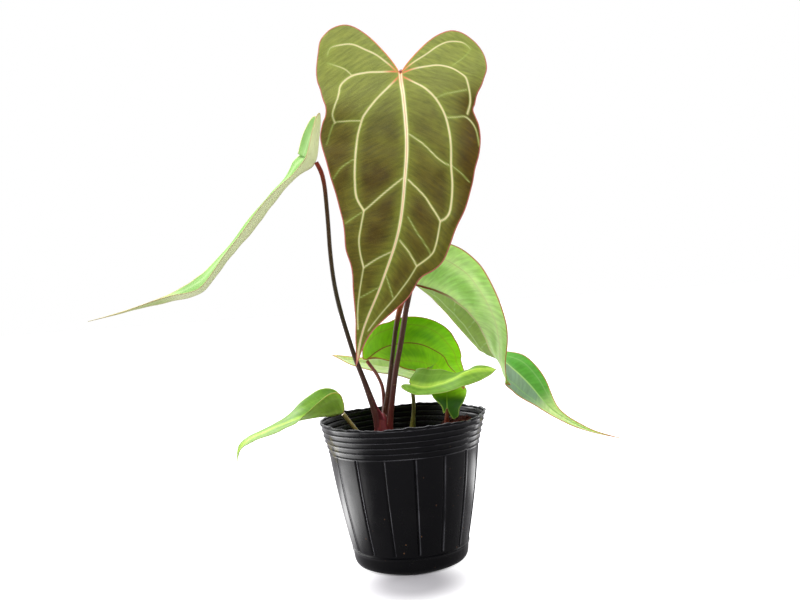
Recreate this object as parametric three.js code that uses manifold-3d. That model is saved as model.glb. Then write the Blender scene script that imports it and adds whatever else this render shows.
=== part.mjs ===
// A young velvet-leaved anthurium hybrid in a thin plastic nursery pot.
// Millimetres, +Z up. The origin is the middle of the pot's foot, and the front of the plant is -Y.
import * as THREE from 'three';
import { mergeVertices } from 'three/addons/utils/BufferGeometryUtils.js';
import Module from 'manifold-3d';

// Driving dimensions of the pot
const POT_HEIGHT = 91;
const RIM_RADIUS = 52.5;
const COLLAR_BOTTOM = 72; // height where the ringed collar starts
const COLLAR_RADIUS = 47.3;
const BAND_TOP = 11.5; // height of the smooth band round the foot
const BAND_RADIUS = 37;
const WALL_BULGE = 0.8; // how far the middle of the wall stands out of a straight cone
const FOOT_RADIUS = 32; // of the flat face that it stands on
const POT_WALL = 0.8;
const POT_FLOOR = 1.2;
const RINGS = 5;
const RING_RELIEF = 0.3;
const PLEATS = 16;
const PLEAT_TURN = THREE.MathUtils.degToRad(6.5); // of the first pleat from +X
const PLEAT_DEPTH = 0.7;
const PLEAT_HALF_WIDTH = 1.1;
const DRAIN_HOLES = 8;
const DRAIN_RADIUS = 3;
const DRAIN_CIRCLE = 25;

// Driving dimensions of the plant
const GAP = 0.3; // kept between pieces that touch
const SOIL_HEIGHT = 72; // in the middle and at the left
const SOIL_RISE = 11; // how much higher the mix stands at the right
const BLADE = 0.8; // thickness of a blade
const STEM_SIDES = 8;

const wasm = await Module();
wasm.setup();

const vector = (p) => new THREE.Vector3(...p);
const ease = (t) => t * t * (3 - 2 * t);
const clamp = THREE.MathUtils.clamp;

// The columns of a table at the value s of its first column, on a smooth curve through the rows.
function between(table, s) {
  const last = table.length - 1;
  if (s <= table[0][0]) return table[0].slice(1);
  if (s >= table[last][0]) return table[last].slice(1);
  const i = table.findIndex((row) => row[0] > s) - 1;
  const [a, b] = [table[i], table[i + 1]];
  const [before, after] = [table[Math.max(i - 1, 0)], table[Math.min(i + 2, last)]];
  const span = b[0] - a[0];
  const t = (s - a[0]) / span;
  return a.slice(1).map((v, k) => {
    const w = b[k + 1];
    const leave = ((w - before[k + 1]) / (b[0] - before[0])) * span;
    const arrive = ((after[k + 1] - v) / (after[0] - a[0])) * span;
    return v + (w - v) * ease(t) + leave * t * (1 - t) ** 2 - arrive * t * t * (1 - t);
  });
}

// A closed geometry from points and triangles: equal points are joined and empty triangles dropped.
function closed(points, triangles) {
  const raw = new THREE.BufferGeometry();
  raw.setAttribute('position', new THREE.Float32BufferAttribute(points.flatMap((p) => [p.x, p.y, p.z]), 3));
  raw.setIndex(triangles.flat());
  const joined = mergeVertices(raw, 1e-4);
  const index = joined.getIndex().array;
  const kept = [];
  for (let i = 0; i < index.length; i += 3) {
    const [a, b, c] = index.slice(i, i + 3);
    if (a !== b && b !== c && c !== a) kept.push(a, b, c);
  }
  joined.setIndex(kept);
  return joined;
}

function toManifold(geometry) {
  return new wasm.Manifold(new wasm.Mesh({
    numProp: 3,
    vertProperties: new Float32Array(geometry.getAttribute('position').array),
    triVerts: new Uint32Array(geometry.getIndex().array),
  }));
}

function fromManifold(solid) {
  const mesh = solid.getMesh();
  const geometry = new THREE.BufferGeometry();
  geometry.setAttribute('position', new THREE.BufferAttribute(new Float32Array(mesh.vertProperties), 3));
  geometry.setIndex(Array.from(mesh.triVerts));
  return geometry;
}

// One body: geometry less every cutter, and of what is left the largest piece.
function cut(geometry, cutters) {
  let solid = toManifold(geometry);
  for (const cutter of cutters) solid = solid.subtract(toManifold(cutter));
  const pieces = solid.decompose();
  pieces.sort((a, b) => b.volume() - a.volume());
  return fromManifold(pieces[0]);
}

// A turned body whose rows may vary round it: each row gives [radius, height] at an angle.
function turned(rows, angles) {
  const points = rows.flatMap((row) => angles.map((angle) => {
    const [radius, z] = row(angle);
    return new THREE.Vector3(radius * Math.cos(angle), radius * Math.sin(angle), z);
  }));
  const n = angles.length;
  const triangles = [];
  for (let i = 0; i + 1 < rows.length; i += 1) {
    for (let j = 0; j < n; j += 1) {
      const [a, b] = [i * n + j, i * n + ((j + 1) % n)];
      triangles.push([a, b, b + n], [a, b + n, a + n]);
    }
  }
  return closed(points, triangles);
}

// Pot

const collarSlope = (RIM_RADIUS - COLLAR_RADIUS) / (POT_HEIGHT - COLLAR_BOTTOM);

// Outer radius of the pot's smooth wall at a height above the band.
function wallRadius(z) {
  if (z > COLLAR_BOTTOM) return COLLAR_RADIUS + (z - COLLAR_BOTTOM) * collarSlope;
  const share = (z - BAND_TOP) / (COLLAR_BOTTOM - BAND_TOP);
  return BAND_RADIUS + (COLLAR_RADIUS - BAND_RADIUS) * share + 4 * WALL_BULGE * share * (1 - share);
}

// The thin rim is slightly out of round and uneven: how far it leaves the true circle at an angle.
const rimOut = (angle) => 0.45 * Math.sin(3 * angle + 1) + 0.25 * Math.sin(7 * angle);
const rimUp = (angle) => 0.35 * Math.sin(5 * angle + 2) + 0.2 * Math.sin(11 * angle);

function pleatAngles() {
  const pitch = (2 * Math.PI) / PLEATS;
  const half = PLEAT_HALF_WIDTH / COLLAR_RADIUS;
  return Array.from({ length: PLEATS }, (_, k) => PLEAT_TURN + k * pitch)
    .flatMap((middle) => [middle - half, middle, middle + half, middle + pitch / 2]);
}

function potGeometry() {
  const pitch = (2 * Math.PI) / PLEATS;
  const pleat = (angle) => {
    const count = (angle - PLEAT_TURN) / pitch;
    return Math.abs(count - Math.round(count)) < 1e-6 ? PLEAT_DEPTH : 0;
  };
  const plain = (radius, z) => () => [radius, z];
  const pleated = (radius, z) => (angle) => [radius - pleat(angle), z];
  const rim = (radius, z) => (angle) => [radius + rimOut(angle), z + rimUp(angle)];
  const ringPitch = (POT_HEIGHT - COLLAR_BOTTOM - 1.5) / RINGS;
  const collar = [];
  for (let k = 0; k < RINGS; k += 1) {
    const low = COLLAR_BOTTOM + 1 + k * ringPitch;
    collar.push(plain(wallRadius(low) - RING_RELIEF, low));
    collar.push(plain(wallRadius(low + ringPitch / 2) + RING_RELIEF, low + ringPitch / 2));
  }
  const inner = (z) => wallRadius(z) - POT_WALL;
  const waist = (BAND_TOP + COLLAR_BOTTOM) / 2;
  const rows = [
    plain(0, 0),
    plain(FOOT_RADIUS, 0),
    plain(FOOT_RADIUS + 2.6, 1),
    plain(FOOT_RADIUS + 4.1, 4),
    plain(BAND_RADIUS - 0.4, BAND_TOP - 2),
    plain(BAND_RADIUS + 0.3, BAND_TOP - 1.2),
    plain(BAND_RADIUS, BAND_TOP),
    pleated(wallRadius(BAND_TOP + 2), BAND_TOP + 2),
    pleated(wallRadius(waist), waist),
    pleated(wallRadius(COLLAR_BOTTOM - 1), COLLAR_BOTTOM - 1),
    ...collar,
    rim(RIM_RADIUS, POT_HEIGHT),
    rim(RIM_RADIUS - POT_WALL, POT_HEIGHT),
    plain(inner(POT_HEIGHT - 4) - RING_RELIEF, POT_HEIGHT - 4),
    plain(inner(COLLAR_BOTTOM + 1) - RING_RELIEF, COLLAR_BOTTOM + 1),
    pleated(inner(COLLAR_BOTTOM - 1), COLLAR_BOTTOM - 1),
    pleated(inner(waist), waist),
    pleated(inner(BAND_TOP + 2), BAND_TOP + 2),
    plain(inner(BAND_TOP), BAND_TOP),
    plain(FOOT_RADIUS + 3.2, 4.4),
    plain(FOOT_RADIUS + 1, POT_FLOOR),
    plain(0, POT_FLOOR),
  ];
  const drain = mergedCylinder(DRAIN_RADIUS, 3 * POT_FLOOR, 12);
  const drains = Array.from({ length: DRAIN_HOLES }, (_, k) => {
    const angle = ((k + 0.5) * 2 * Math.PI) / DRAIN_HOLES;
    return drain.clone().translate(DRAIN_CIRCLE * Math.cos(angle), DRAIN_CIRCLE * Math.sin(angle), 0);
  });
  return cut(turned(rows, pleatAngles()), drains);
}

// An upright cylinder round the Z axis, with its shared points joined.
function mergedCylinder(radius, height, sides) {
  const geometry = new THREE.CylinderGeometry(radius, radius, height, sides).rotateX(Math.PI / 2);
  geometry.deleteAttribute('normal');
  geometry.deleteAttribute('uv');
  return mergeVertices(geometry, 1e-4);
}

// Soil

// Height of the mix: low in the middle and at the left, heaped to the right, and lumpy.
function soilHeight(x, y) {
  const heap = SOIL_RISE * ease(clamp((x - 8) / 36, 0, 1));
  return SOIL_HEIGHT + heap + 0.7 * Math.sin(0.31 * x + 1) * Math.cos(0.27 * y) + 0.4 * Math.sin(0.7 * x + 0.5 * y);
}

function soilGeometry() {
  const room = GAP + PLEAT_DEPTH + RING_RELIEF;
  const inner = (z) => wallRadius(z) - POT_WALL - room;
  const edge = (angle) => {
    const radius = inner(SOIL_HEIGHT);
    return soilHeight(radius * Math.cos(angle), radius * Math.sin(angle));
  };
  const top = (share) => (angle) => {
    const radius = share * inner(edge(angle));
    return [radius, soilHeight(radius * Math.cos(angle), radius * Math.sin(angle))];
  };
  const rows = [
    () => [0, POT_FLOOR + GAP],
    () => [FOOT_RADIUS - 1, POT_FLOOR + GAP],
    () => [FOOT_RADIUS + 2, 5],
    () => [inner(BAND_TOP + 1), BAND_TOP + 1],
    () => [inner(SOIL_HEIGHT - 6), SOIL_HEIGHT - 6],
    ...[1, 0.86, 0.68, 0.5, 0.32, 0.15, 0].map(top),
  ];
  const sides = 40;
  return turned(rows, Array.from({ length: sides }, (_, k) => (k * 2 * Math.PI) / sides));
}

// Stems

// A round stem along a smooth path. Each path point is [x, y, z, radius].
function stemGeometry(path, { sides = STEM_SIDES, steps = 2, grow = 0 } = {}) {
  const curve = new THREE.CatmullRomCurve3(path.map((p) => vector(p.slice(0, 3))), false, 'catmullrom');
  const count = steps * (path.length - 1);
  const points = [];
  const triangles = [];
  let side = new THREE.Vector3(1, 0, 0);
  for (let i = 0; i <= count; i += 1) {
    const place = i / steps;
    const k = Math.min(Math.floor(place), path.length - 2);
    const radius = THREE.MathUtils.lerp(path[k][3], path[k + 1][3], place - k) + grow;
    const middle = curve.getPoint(i / count);
    const along = curve.getTangent(i / count);
    side = side.clone().addScaledVector(along, -side.dot(along)).normalize();
    const across = new THREE.Vector3().crossVectors(along, side);
    if (i === 0) middle.addScaledVector(along, -grow);
    if (i === count) middle.addScaledVector(along, grow);
    for (let j = 0; j < sides; j += 1) {
      const angle = (j * 2 * Math.PI) / sides;
      const point = middle.clone().addScaledVector(side, radius * Math.cos(angle));
      points.push(point.addScaledVector(across, radius * Math.sin(angle)));
    }
  }
  const last = count * sides;
  for (let j = 0; j < sides; j += 1) {
    const next = (j + 1) % sides;
    for (let i = 0; i < last; i += sides) {
      triangles.push([i + j, i + next, i + sides + next], [i + j, i + sides + next, i + sides + j]);
    }
    if (j > 0 && j < sides - 1) {
      triangles.push([0, j + 1, j], [last, last + j, last + j + 1]);
    }
  }
  return closed(points, triangles);
}

// Blades

// Half of a long leaf as it lies flat, as shares: along the midrib from the petiole (0) to the
// tip (1), or back in the basal lobe (0 to -1), and out from the midrib (0 to 1).
const LONG_HALF = [
  [0, 0], [-0.35, 0.1], [-0.8, 0.26], [-1, 0.46], [-0.85, 0.68], [-0.4, 0.88], [0.03, 0.98], [0.1, 1],
  [0.2, 0.95], [0.32, 0.84], [0.45, 0.67], [0.56, 0.51], [0.66, 0.35], [0.75, 0.19], [0.83, 0.1],
  [0.92, 0.05], [1, 0],
];

const longHalf = (length, width, lobe) => LONG_HALF.map(([s, t]) => [s * (s < 0 ? lobe : length), t * width]);

const ROOT = 1; // the spine point where the petiole meets the blade
const FORWARD = 0.55; // how far a side vein runs forward for each step out

// Bends a flat blade: gives the place and the upper normal of the flat point (s, t), t to the left.
function bender({ spine, face, turn, curl = 0, ripple = 0, wave = 30 }) {
  const curve = new THREE.CatmullRomCurve3(spine.map(vector), false, 'catmullrom');
  const perSpan = 16;
  const count = perSpan * (spine.length - 1);
  const places = Array.from({ length: count + 1 }, (_, i) => curve.getPoint(i / count));
  const along = places.map((_, i) => curve.getTangent(i / count));
  const root = ROOT * perSpan;
  const up = [];
  const s = [];
  const upright = (v, i) => v.clone().addScaledVector(along[i], -v.dot(along[i])).normalize();
  up[root] = upright(vector(face), root);
  s[root] = 0;
  for (let i = root + 1; i <= count; i += 1) {
    up[i] = upright(up[i - 1], i);
    s[i] = s[i - 1] + places[i].distanceTo(places[i - 1]);
  }
  for (let i = root - 1; i >= 0; i -= 1) {
    up[i] = upright(up[i + 1], i);
    s[i] = s[i + 1] - places[i].distanceTo(places[i + 1]);
  }
  const length = s[count];
  const place = (at, t) => {
    let i = s.findIndex((v) => v > at) - 1;
    if (i === -2) i = count - 1;
    i = clamp(i, 0, count - 1);
    const share = (at - s[i]) / (s[i + 1] - s[i]);
    const middle = places[i].clone().lerp(places[i + 1], share);
    const tangent = along[i].clone().lerp(along[i + 1], clamp(share, 0, 1)).normalize();
    const face0 = up[i].clone().lerp(up[i + 1], clamp(share, 0, 1)).normalize();
    const left = new THREE.Vector3().crossVectors(face0, tangent);
    const [twist, fold] = between(turn, at);
    const side = t < 0 ? -1 : 1;
    const out = Math.abs(t);
    const lift = THREE.MathUtils.degToRad(fold + side * twist + (curl * out) / 60);
    const swell = ripple * (out / 30) ** 2 * Math.sin((2 * Math.PI * at) / wave + side);
    const across = out * Math.cos(lift) - swell * Math.sin(lift);
    const raised = out * Math.sin(lift) + swell * Math.cos(lift);
    return middle.addScaledVector(left, side * across).addScaledVector(face0, raised);
  };
  const step = 0.2;
  const normal = (at, t) => {
    const sum = new THREE.Vector3();
    for (const t0 of Math.abs(t) < step ? [-step, step] : [t]) {
      const ds = place(at + step, t0).sub(place(at - step, t0));
      const dt = place(at, t0 + step).sub(place(at, t0 - step));
      sum.add(ds.cross(dt).normalize());
    }
    return sum.normalize();
  };
  return { place, normal, length };
}

// Evenly spaced points on a half's outline, from the petiole round to the tip, stretched to the
// midrib's own length.
function spacedOutline(outline, count, length) {
  const flat = outline.map(([s, t]) => new THREE.Vector3(s, t, 0));
  const points = new THREE.CatmullRomCurve3(flat, false, 'catmullrom').getSpacedPoints(count);
  const scale = length / flat[flat.length - 1].x;
  for (const point of points) point.set(point.x > 0 ? point.x * scale : point.x, Math.max(point.y, 0), 0);
  points[0].set(0, 0, 0);
  points[count].set(length, 0, 0);
  return points;
}

// A blade as a closed thin solid with a keel under its midrib. Each half is a fan of ribs from the
// midrib to the outline, split into triangles alike on both faces.
function bladeGeometry(leaf, { grow = 0 } = {}) {
  const { left, right, ribs = 20, across = 3, keel = 0.7 } = leaf;
  const { place, normal, length } = bender(leaf);
  const rims = [left, right].map((outline) => spacedOutline(outline, ribs, length));
  for (const point of rims.flat()) {
    if (point.length() > grow) point.setLength(point.length() + grow);
    else point.x -= grow;
  }
  const feet = [];
  for (let i = 0; i <= ribs; i += 1) {
    const mean = (rims[0][i].x - FORWARD * rims[0][i].y + rims[1][i].x - FORWARD * rims[1][i].y) / 2;
    feet.push(Math.max(mean, feet[i - 1] ?? 0));
  }
  const points = [];
  const triangles = [];
  for (const [rim, side] of [[rims[0], 1], [rims[1], -1]]) {
    const first = points.length;
    for (let i = 0; i <= ribs; i += 1) {
      for (let j = 0; j <= across; j += 1) {
        const v = j / across;
        const [at, out] = [feet[i] + (rim[i].x - feet[i]) * v, side * rim[i].y * v];
        const up = normal(at, out);
        const under = j === 0 ? keel * clamp(at / 8, 0, 1) * (1 - at / length) : 0;
        points.push(place(at, out).addScaledVector(up, BLADE / 2 + grow));
        points.push(place(at, out).addScaledVector(up, -BLADE / 2 - grow - under));
      }
    }
    const vertex = (i, j, lower) => first + 2 * (i * (across + 1) + j) + lower;
    const add = (a, b, c) => triangles.push(side > 0 ? [a, b, c] : [a, c, b]);
    for (let i = 0; i < ribs; i += 1) {
      for (let j = 0; j < across; j += 1) {
        add(vertex(i, j, 0), vertex(i + 1, j, 0), vertex(i + 1, j + 1, 0));
        add(vertex(i, j, 0), vertex(i + 1, j + 1, 0), vertex(i, j + 1, 0));
        add(vertex(i, j, 1), vertex(i + 1, j + 1, 1), vertex(i + 1, j, 1));
        add(vertex(i, j, 1), vertex(i, j + 1, 1), vertex(i + 1, j + 1, 1));
      }
      add(vertex(i, across, 0), vertex(i + 1, across, 0), vertex(i + 1, across, 1));
      add(vertex(i, across, 0), vertex(i + 1, across, 1), vertex(i, across, 1));
    }
  }
  return closed(points, triangles);
}

// Leaves. A spine runs through the midrib, from one point behind the petiole to the tip. Face is the
// way that the upper side looks at the petiole. Left and right are the halves as they lie flat: points
// along the midrib and out from it. Turn gives, at distances along the midrib, how far the blade is
// twisted and how far its halves are folded up, in degrees. Stem points are [x, y, z, radius].
const LEAVES = {
  front: {
    colour: '#4b4b22',
    spine: [
      [14.9, -18, 336], [13.8, -24, 301], [14.5, -30, 284], [14.5, -35, 260], [12, -39, 238], [6, -43, 206],
      [-6, -44, 176], [-19, -42, 149], [-25, -40, 127.4],
    ],
    face: [0, -1, 0.15],
    left: [
      [0, 0], [-5.6, 3.9], [-13, 10.6], [-20, 17.8], [-24.5, 24], [-27.5, 31], [-27.5, 37], [-25, 43],
      [-20, 49], [-13, 52.5], [-3, 53], [7, 51], [13, 48.5], [18, 44.5], [24, 42.5], [27.5, 41],
      [31.5, 42], [36, 43.5], [43, 44], [51, 43], [58.5, 41], [67.5, 40], [81.5, 37], [93.5, 32.5],
      [107.5, 30], [114, 26.5], [121, 20.5], [132.5, 18], [142, 13.5], [151.5, 9], [160, 5.5],
      [171, 2.5], [183, 0],
    ],
    right: [
      [0, 0], [-5.4, 2.9], [-9.8, 5.8], [-15, 9.8], [-22.3, 16], [-28, 22], [-32, 27.5], [-34, 33], [-33.5, 39],
      [-31, 44], [-25.5, 48.5], [-18, 50], [-7.5, 51.5], [-0.5, 51], [5.5, 49], [18, 47], [23.5, 47.5],
      [28.5, 50], [37, 52], [48.5, 50.5], [64, 46], [78.5, 40.5], [92.5, 36], [109, 30.5], [119.5, 26.5],
      [129, 19.5], [140.5, 14.5], [152, 8.5], [160, 5], [174, 1.5], [183, 0],
    ],
    turn: [[-30, 0, 4], [0, 0, 10], [60, 0, 8], [183, 0, 10]],
    curl: -16,
    ripple: 0.6,
    wave: 45,
    ribs: 30,
    across: 4,
    stemColour: '#4a1a14',
    stem: [
      [-9, -6.5, 73, 2.2], [-8, -6.5, 87, 2.2], [-6.9, -6.5, 94, 2], [-4.9, -7, 105, 1.8],
      [-1.8, -8, 120.8, 1.75], [1.4, -9, 133.2, 1.75], [4.4, -10, 145.6, 1.75], [7.4, -11, 158.5, 1.7],
      [11.4, -12, 173.2, 1.7], [15.8, -12, 191.5, 1.65], [19.2, -11, 213.1, 1.6], [21, -10, 237.9, 1.6],
      [20.9, -10, 262.7, 1.6], [19.3, -11, 284.4, 1.6], [17, -14.5, 298.5, 1.8], [14.8, -19.5, 302.5, 1.8],
      [13.8, -23.8, 301, 1.5],
    ],
  },
  right: {
    colour: '#3f8a2e',
    spine: [
      [6.3, 6, 178.1], [12.5, 8, 173.5], [20, 11, 171.6], [37.5, 18, 163.3], [54.7, 27, 145.9],
      [64, 38, 125], [69.5, 44, 117.5], [75.6, 50, 113.5], [88.9, 56, 99.9], [101.6, 56, 83.1],
      [112, 53, 73.6], [129.9, 48, 63.3], [149.5, 42, 57.8],
    ],
    face: [0, 1, 0.2],
    left: [
      [0, 0], [-8, 3], [-18, 9], [-21, 16], [-17, 22], [-5, 26.5], [8, 28], [20, 28], [40, 26.5],
      [60, 24], [80, 21], [95, 18], [112, 15], [126, 12], [138, 8], [148, 4.5], [158, 2.6], [170, 2], [198, 0],
    ],
    right: [
      [0, 0], [-8, 3], [-18, 9], [-22, 16], [-18, 23], [-5, 29], [8, 31], [20, 31.5], [30, 29], [45, 26],
      [60, 24], [80, 21], [95, 18], [112, 15], [126, 12], [138, 8.6], [150, 5.4], [162, 3.8], [180, 2.3],
      [198, 0],
    ],
    turn: [
      [0, 39, 49], [14, 37, 41], [28, 38, 33], [35, 44, 22], [42, 49, 14], [56, 60, 2], [70, 69, -4],
      [84, 82, -10], [91, 90, -17], [98, 102, -17], [105, 120, -8], [112, 136, 3], [126, 153, 7],
      [140, 153, 25], [154, 153, 30], [166, 152, 32], [180, 135, 40], [199, 130, 40],
    ],
    ripple: 0.8,
    wave: 38,
    ribs: 26,
    across: 4,
    stemColour: '#4c3a20',
    stem: [
      [-12, -1.5, 73, 2], [-11.6, -1.6, 87, 2], [-10.4, -2.2, 95, 1.7], [-8.1, -3, 105, 1.6],
      [-5, -3, 120.5, 1.5], [-2.6, -1.5, 132.9, 1.45], [-0.1, 0, 145.4, 1.5], [2.7, 2, 156, 1.8],
      [5.7, 4, 164, 1.8], [9.2, 5.6, 170.6, 1.6], [12.5, 7.9, 173.4, 1.4],
    ],
  },
  left: {
    colour: '#7fae4a',
    spine: [
      [-38.4, 4, 272.1], [-43.4, 5, 256.1], [-52.5, 5, 250.4], [-62.8, 4, 242.6], [-74.9, 1, 228.3],
      [-88.5, -3, 211.9], [-101.6, -7, 197.9], [-113.9, -9, 182.8], [-122.2, -10, 177], [-138.4, -11, 174],
      [-155, -12, 171.5], [-169.6, -12, 168.5], [-189.6, -12, 164.9],
    ],
    face: [-0.62, 0, 0.78],
    left: longHalf(183, 27, 29),
    right: longHalf(183, 27, 29),
    turn: [
      [-26, -15, 25], [0, -17, 22], [10, -15, 13], [20, -10, 6], [30, -10, 8], [40, -10, 10], [60, -9, 13],
      [80, -11, 12], [90, -13, 14], [100, -17, 20], [110, -25, 30], [120, -22, 34], [130, -11, 33],
      [140, -6, 33], [150, -7, 24], [165, -8, 17], [183, -4, 6],
    ],
    ripple: 0.6,
    wave: 40,
    ribs: 26,
    across: 4,
    stemColour: '#3d3320',
    stem: [
      [-15.5, -5, 73, 2.2], [-15.8, -5, 88, 2.3], [-17, -5, 97, 2.3], [-19.5, -5, 106, 2],
      [-22.6, -4, 116.3, 1.7], [-26.8, -3, 129.5, 1.5], [-30.2, -1, 142.6, 1.45], [-34.5, 1, 161.5, 1.45],
      [-37.1, 3, 178.5, 1.4], [-38.2, 4, 197.4, 1.4], [-38.3, 5, 216.2, 1.4], [-38.6, 6, 232.3, 1.4],
      [-39, 6, 241.1, 1.4], [-40.3, 5.6, 249, 1.5], [-43, 5, 255.6, 1.4],
    ],
  },
  middle: {
    colour: '#5fae18',
    spine: [
      [-30, 14, 121], [-20.5, 15, 126.5], [-12.6, 16, 131.5], [-4.9, 17, 134.4], [4.7, 18, 135.4],
      [12.7, 19, 134.5], [20.1, 20, 131.4], [29.3, 20, 125.4], [33, 18.5, 118.4], [38.5, 15, 111],
      [41.5, 12, 103],
    ],
    face: [0, -0.8, 0.6],
    left: [
      [0, 0], [-1.5, 2], [0, 5], [3.5, 9], [8, 12.5], [13, 15.5], [17.5, 17], [21, 17], [25, 18.4],
      [33.5, 20.2], [41, 21.4], [45, 21.3], [49, 20.5], [52.5, 18.7], [55, 16], [58, 13.5], [65, 10],
      [72, 6], [78, 3], [82, 0],
    ],
    right: [
      [0, 0], [4, 1.8], [7.5, 6], [12, 11], [20.5, 18], [28.5, 21.5], [40, 22], [50, 20], [60, 16],
      [69, 10], [76, 4.5], [82, 0],
    ],
    turn: [[0, 0, 8], [60, 0, 5], [92, 0, 20]],
    ripple: 0.5,
    wave: 24,
    ribs: 20,
    across: 3,
    stemColour: '#5e2418',
    stem: [
      [-12.5, 2.8, 73, 1.5], [-12, 2.7, 88, 1.5], [-11, 3, 97, 1.3], [-10.8, 4, 104.5, 1.2],
      [-11.3, 6, 109.4, 1.15], [-12.7, 8.5, 113.7, 1.15], [-15.1, 11.5, 118.4, 1.15], [-17.6, 14, 121.8, 1.15],
      [-20.2, 15.3, 125.8, 1.2],
    ],
  },
  back: {
    colour: '#cfe6a4',
    spine: [
      [18, 31, 108.5], [10.7, 34, 112.4], [0.7, 38, 116.6], [-12.5, 40, 119.2], [-26, 41, 122.6],
      [-36, 41, 126], [-44.6, 40, 129.3],
    ],
    face: [0, -0.45, 0.9],
    left: [
      [0, 0], [-3, 3], [-4, 7], [-1, 9], [4, 10.5], [10, 12], [19, 13], [25, 12.8], [32, 11], [38, 9.8],
      [45, 8.6], [50, 6], [54.5, 2.5], [59, 0],
    ],
    right: [
      [0, 0], [-2, 1.5], [0, 3], [3, 4], [8, 7], [14, 10], [22, 11], [30, 9], [36, 6], [41, 4.2],
      [46, 3.4], [51, 2.4], [55, 1.4], [59, 0],
    ],
    turn: [[0, 0, 15], [60, 0, 20]],
    ribs: 14,
    across: 2,
    stemColour: '#5d6a2c',
    stem: [
      [7.2, 12, 62, 1.2], [7.2, 12.8, 76, 1.2], [7.6, 15, 88, 1.1], [8.2, 20, 96.5, 1.1], [8.1, 26, 102.5, 1.1],
      [8.8, 31, 107.8, 1.1], [10.4, 33.6, 111.9, 1.1],
    ],
  },
  small_right: {
    colour: '#6aa62c',
    spine: [
      [2.8, -10, 113.2], [6.7, -11.5, 111.5], [16.7, -13, 109.1], [24.8, -15, 110.6], [32.9, -17, 113.4],
      [39.3, -18, 116.7], [47.4, -18, 118.4], [54.9, -17, 118], [60.1, -16, 117.4],
    ],
    face: [0, -0.5, 0.86],
    left: [
      [0, 0], [-2, 2], [-3, 6], [-3, 10], [0, 13], [5, 13.6], [10, 14], [20, 14], [30, 13], [38, 11.5],
      [45, 9], [51, 5.5], [56, 0],
    ],
    right: [
      [0, 0], [-2, 1.5], [-3, 4], [-2.5, 8], [0, 11.5], [4, 13], [10, 14], [20, 14], [30, 13],
      [38, 11.5], [45, 9], [51, 5.5], [56, 0],
    ],
    turn: [
      [0, -3, 14], [5, 3, 18], [10, -1, 18], [15, -3, 15], [20, -5, 9], [25, -10, -1], [30, -13, -9],
      [35, -10, -15], [40, -8, -18], [45, -1, -15], [56, 0, 0],
    ],
    ripple: 0.5,
    wave: 20,
    ribs: 16,
    across: 2,
    stemColour: '#6d6a2a',
    stem: [
      [4, -7, 62, 1.3], [4.6, -7.6, 76, 1.2], [5.6, -8, 85, 1.2], [7.2, -8, 92, 1.2], [7.9, -8.2, 100, 1.2],
      [7.8, -9.6, 106.5, 1.2], [8.3, -11.2, 110.8, 1.2],
    ],
  },
  small_left: {
    colour: '#7cab3c',
    spine: [
      [-31.8, -16, 97.8], [-36, -17, 97.3], [-48.4, -20, 97.3], [-59.1, -23, 97.1], [-70.4, -25, 94.9],
      [-80.8, -26, 91.6], [-91.9, -27, 87.7], [-97.9, -27.5, 83.1], [-100.3, -27, 78.3], [-101.1, -26, 73.9],
    ],
    face: [0, 0, 1],
    left: [
      [0, 0], [-1, 2.5], [-1, 6], [0, 10], [2, 14], [6, 16.5], [12, 18], [20, 17], [30, 14.5], [40, 11],
      [50, 8], [60, 5.5], [70, 3], [76, 0],
    ],
    right: [
      [0, 0], [-1.5, 2.5], [-1.5, 6], [-0.5, 10], [1, 14], [5, 16.5], [12, 18], [20, 17], [30, 14.5],
      [40, 11], [50, 8], [60, 5.5], [70, 3], [76, 0],
    ],
    turn: [
      [0, 5, 66], [6, -3, 64], [12, -5, 52], [18, -3, 38], [24, -5, 23], [30, -6, 9], [36, -5, 3],
      [42, -7, -1], [54, -8, -2], [60, -13, -1], [66, -14, 9], [76, -18, 5],
    ],
    ribs: 16,
    across: 2,
    stemColour: '#7a6a34',
    stem: [
      [-21, -10, 62, 1.3], [-23.6, -11.4, 76, 1.3], [-29, -13.6, 86, 1.25], [-32.6, -15, 91.6, 1.25],
      [-36, -16.9, 97, 1.25],
    ],
  },
  seedling: {
    colour: '#8cc02c',
    spine: [
      [29.8, 24, 81], [30.4, 27, 89.6], [30.9, 30, 96], [32, 34, 103], [34, 39, 109],
    ],
    face: [0, -0.85, 0.5],
    left: [
      [0, 0], [-2, 1], [-3.8, 2.2], [-2.8, 2.8], [0.2, 3.5], [2.6, 5.1], [5.2, 8.2], [8, 10.2], [13, 11],
      [18, 8], [21.5, 4], [23.5, 0],
    ],
    right: [
      [0, 0], [-2, 0.7], [-4.7, 1.9], [-7.5, 3.9], [-6.8, 6.5], [-5, 7.9], [-1, 8.4], [1.5, 10], [4, 11.6],
      [10.5, 13.4], [15, 12.4], [20, 7.5], [23.5, 0],
    ],
    turn: [[0, 0, 12], [28, 0, 10]],
    keel: 0.3,
    ribs: 16,
    across: 2,
    stemColour: '#6a2a1c',
    stem: [
      [28.8, 26.5, 68, 1.5], [29.1, 26.8, 76, 1.5], [29.8, 27, 83, 1.4], [30.4, 27.3, 89.2, 1.2],
    ],
  },
};

// The short stem base that holds the four large leaves.
const CROWN = [[-12, -3, 54, 6], [-12, -3, 66, 8], [-12.2, -2.6, 74, 8.2], [-12.3, -2.4, 80, 7.2]];

function piece(name, geometry, color, roughness) {
  const mesh = new THREE.Mesh(geometry, new THREE.MeshStandardMaterial({ color, roughness, metalness: 0 }));
  mesh.name = name;
  return mesh;
}

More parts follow.
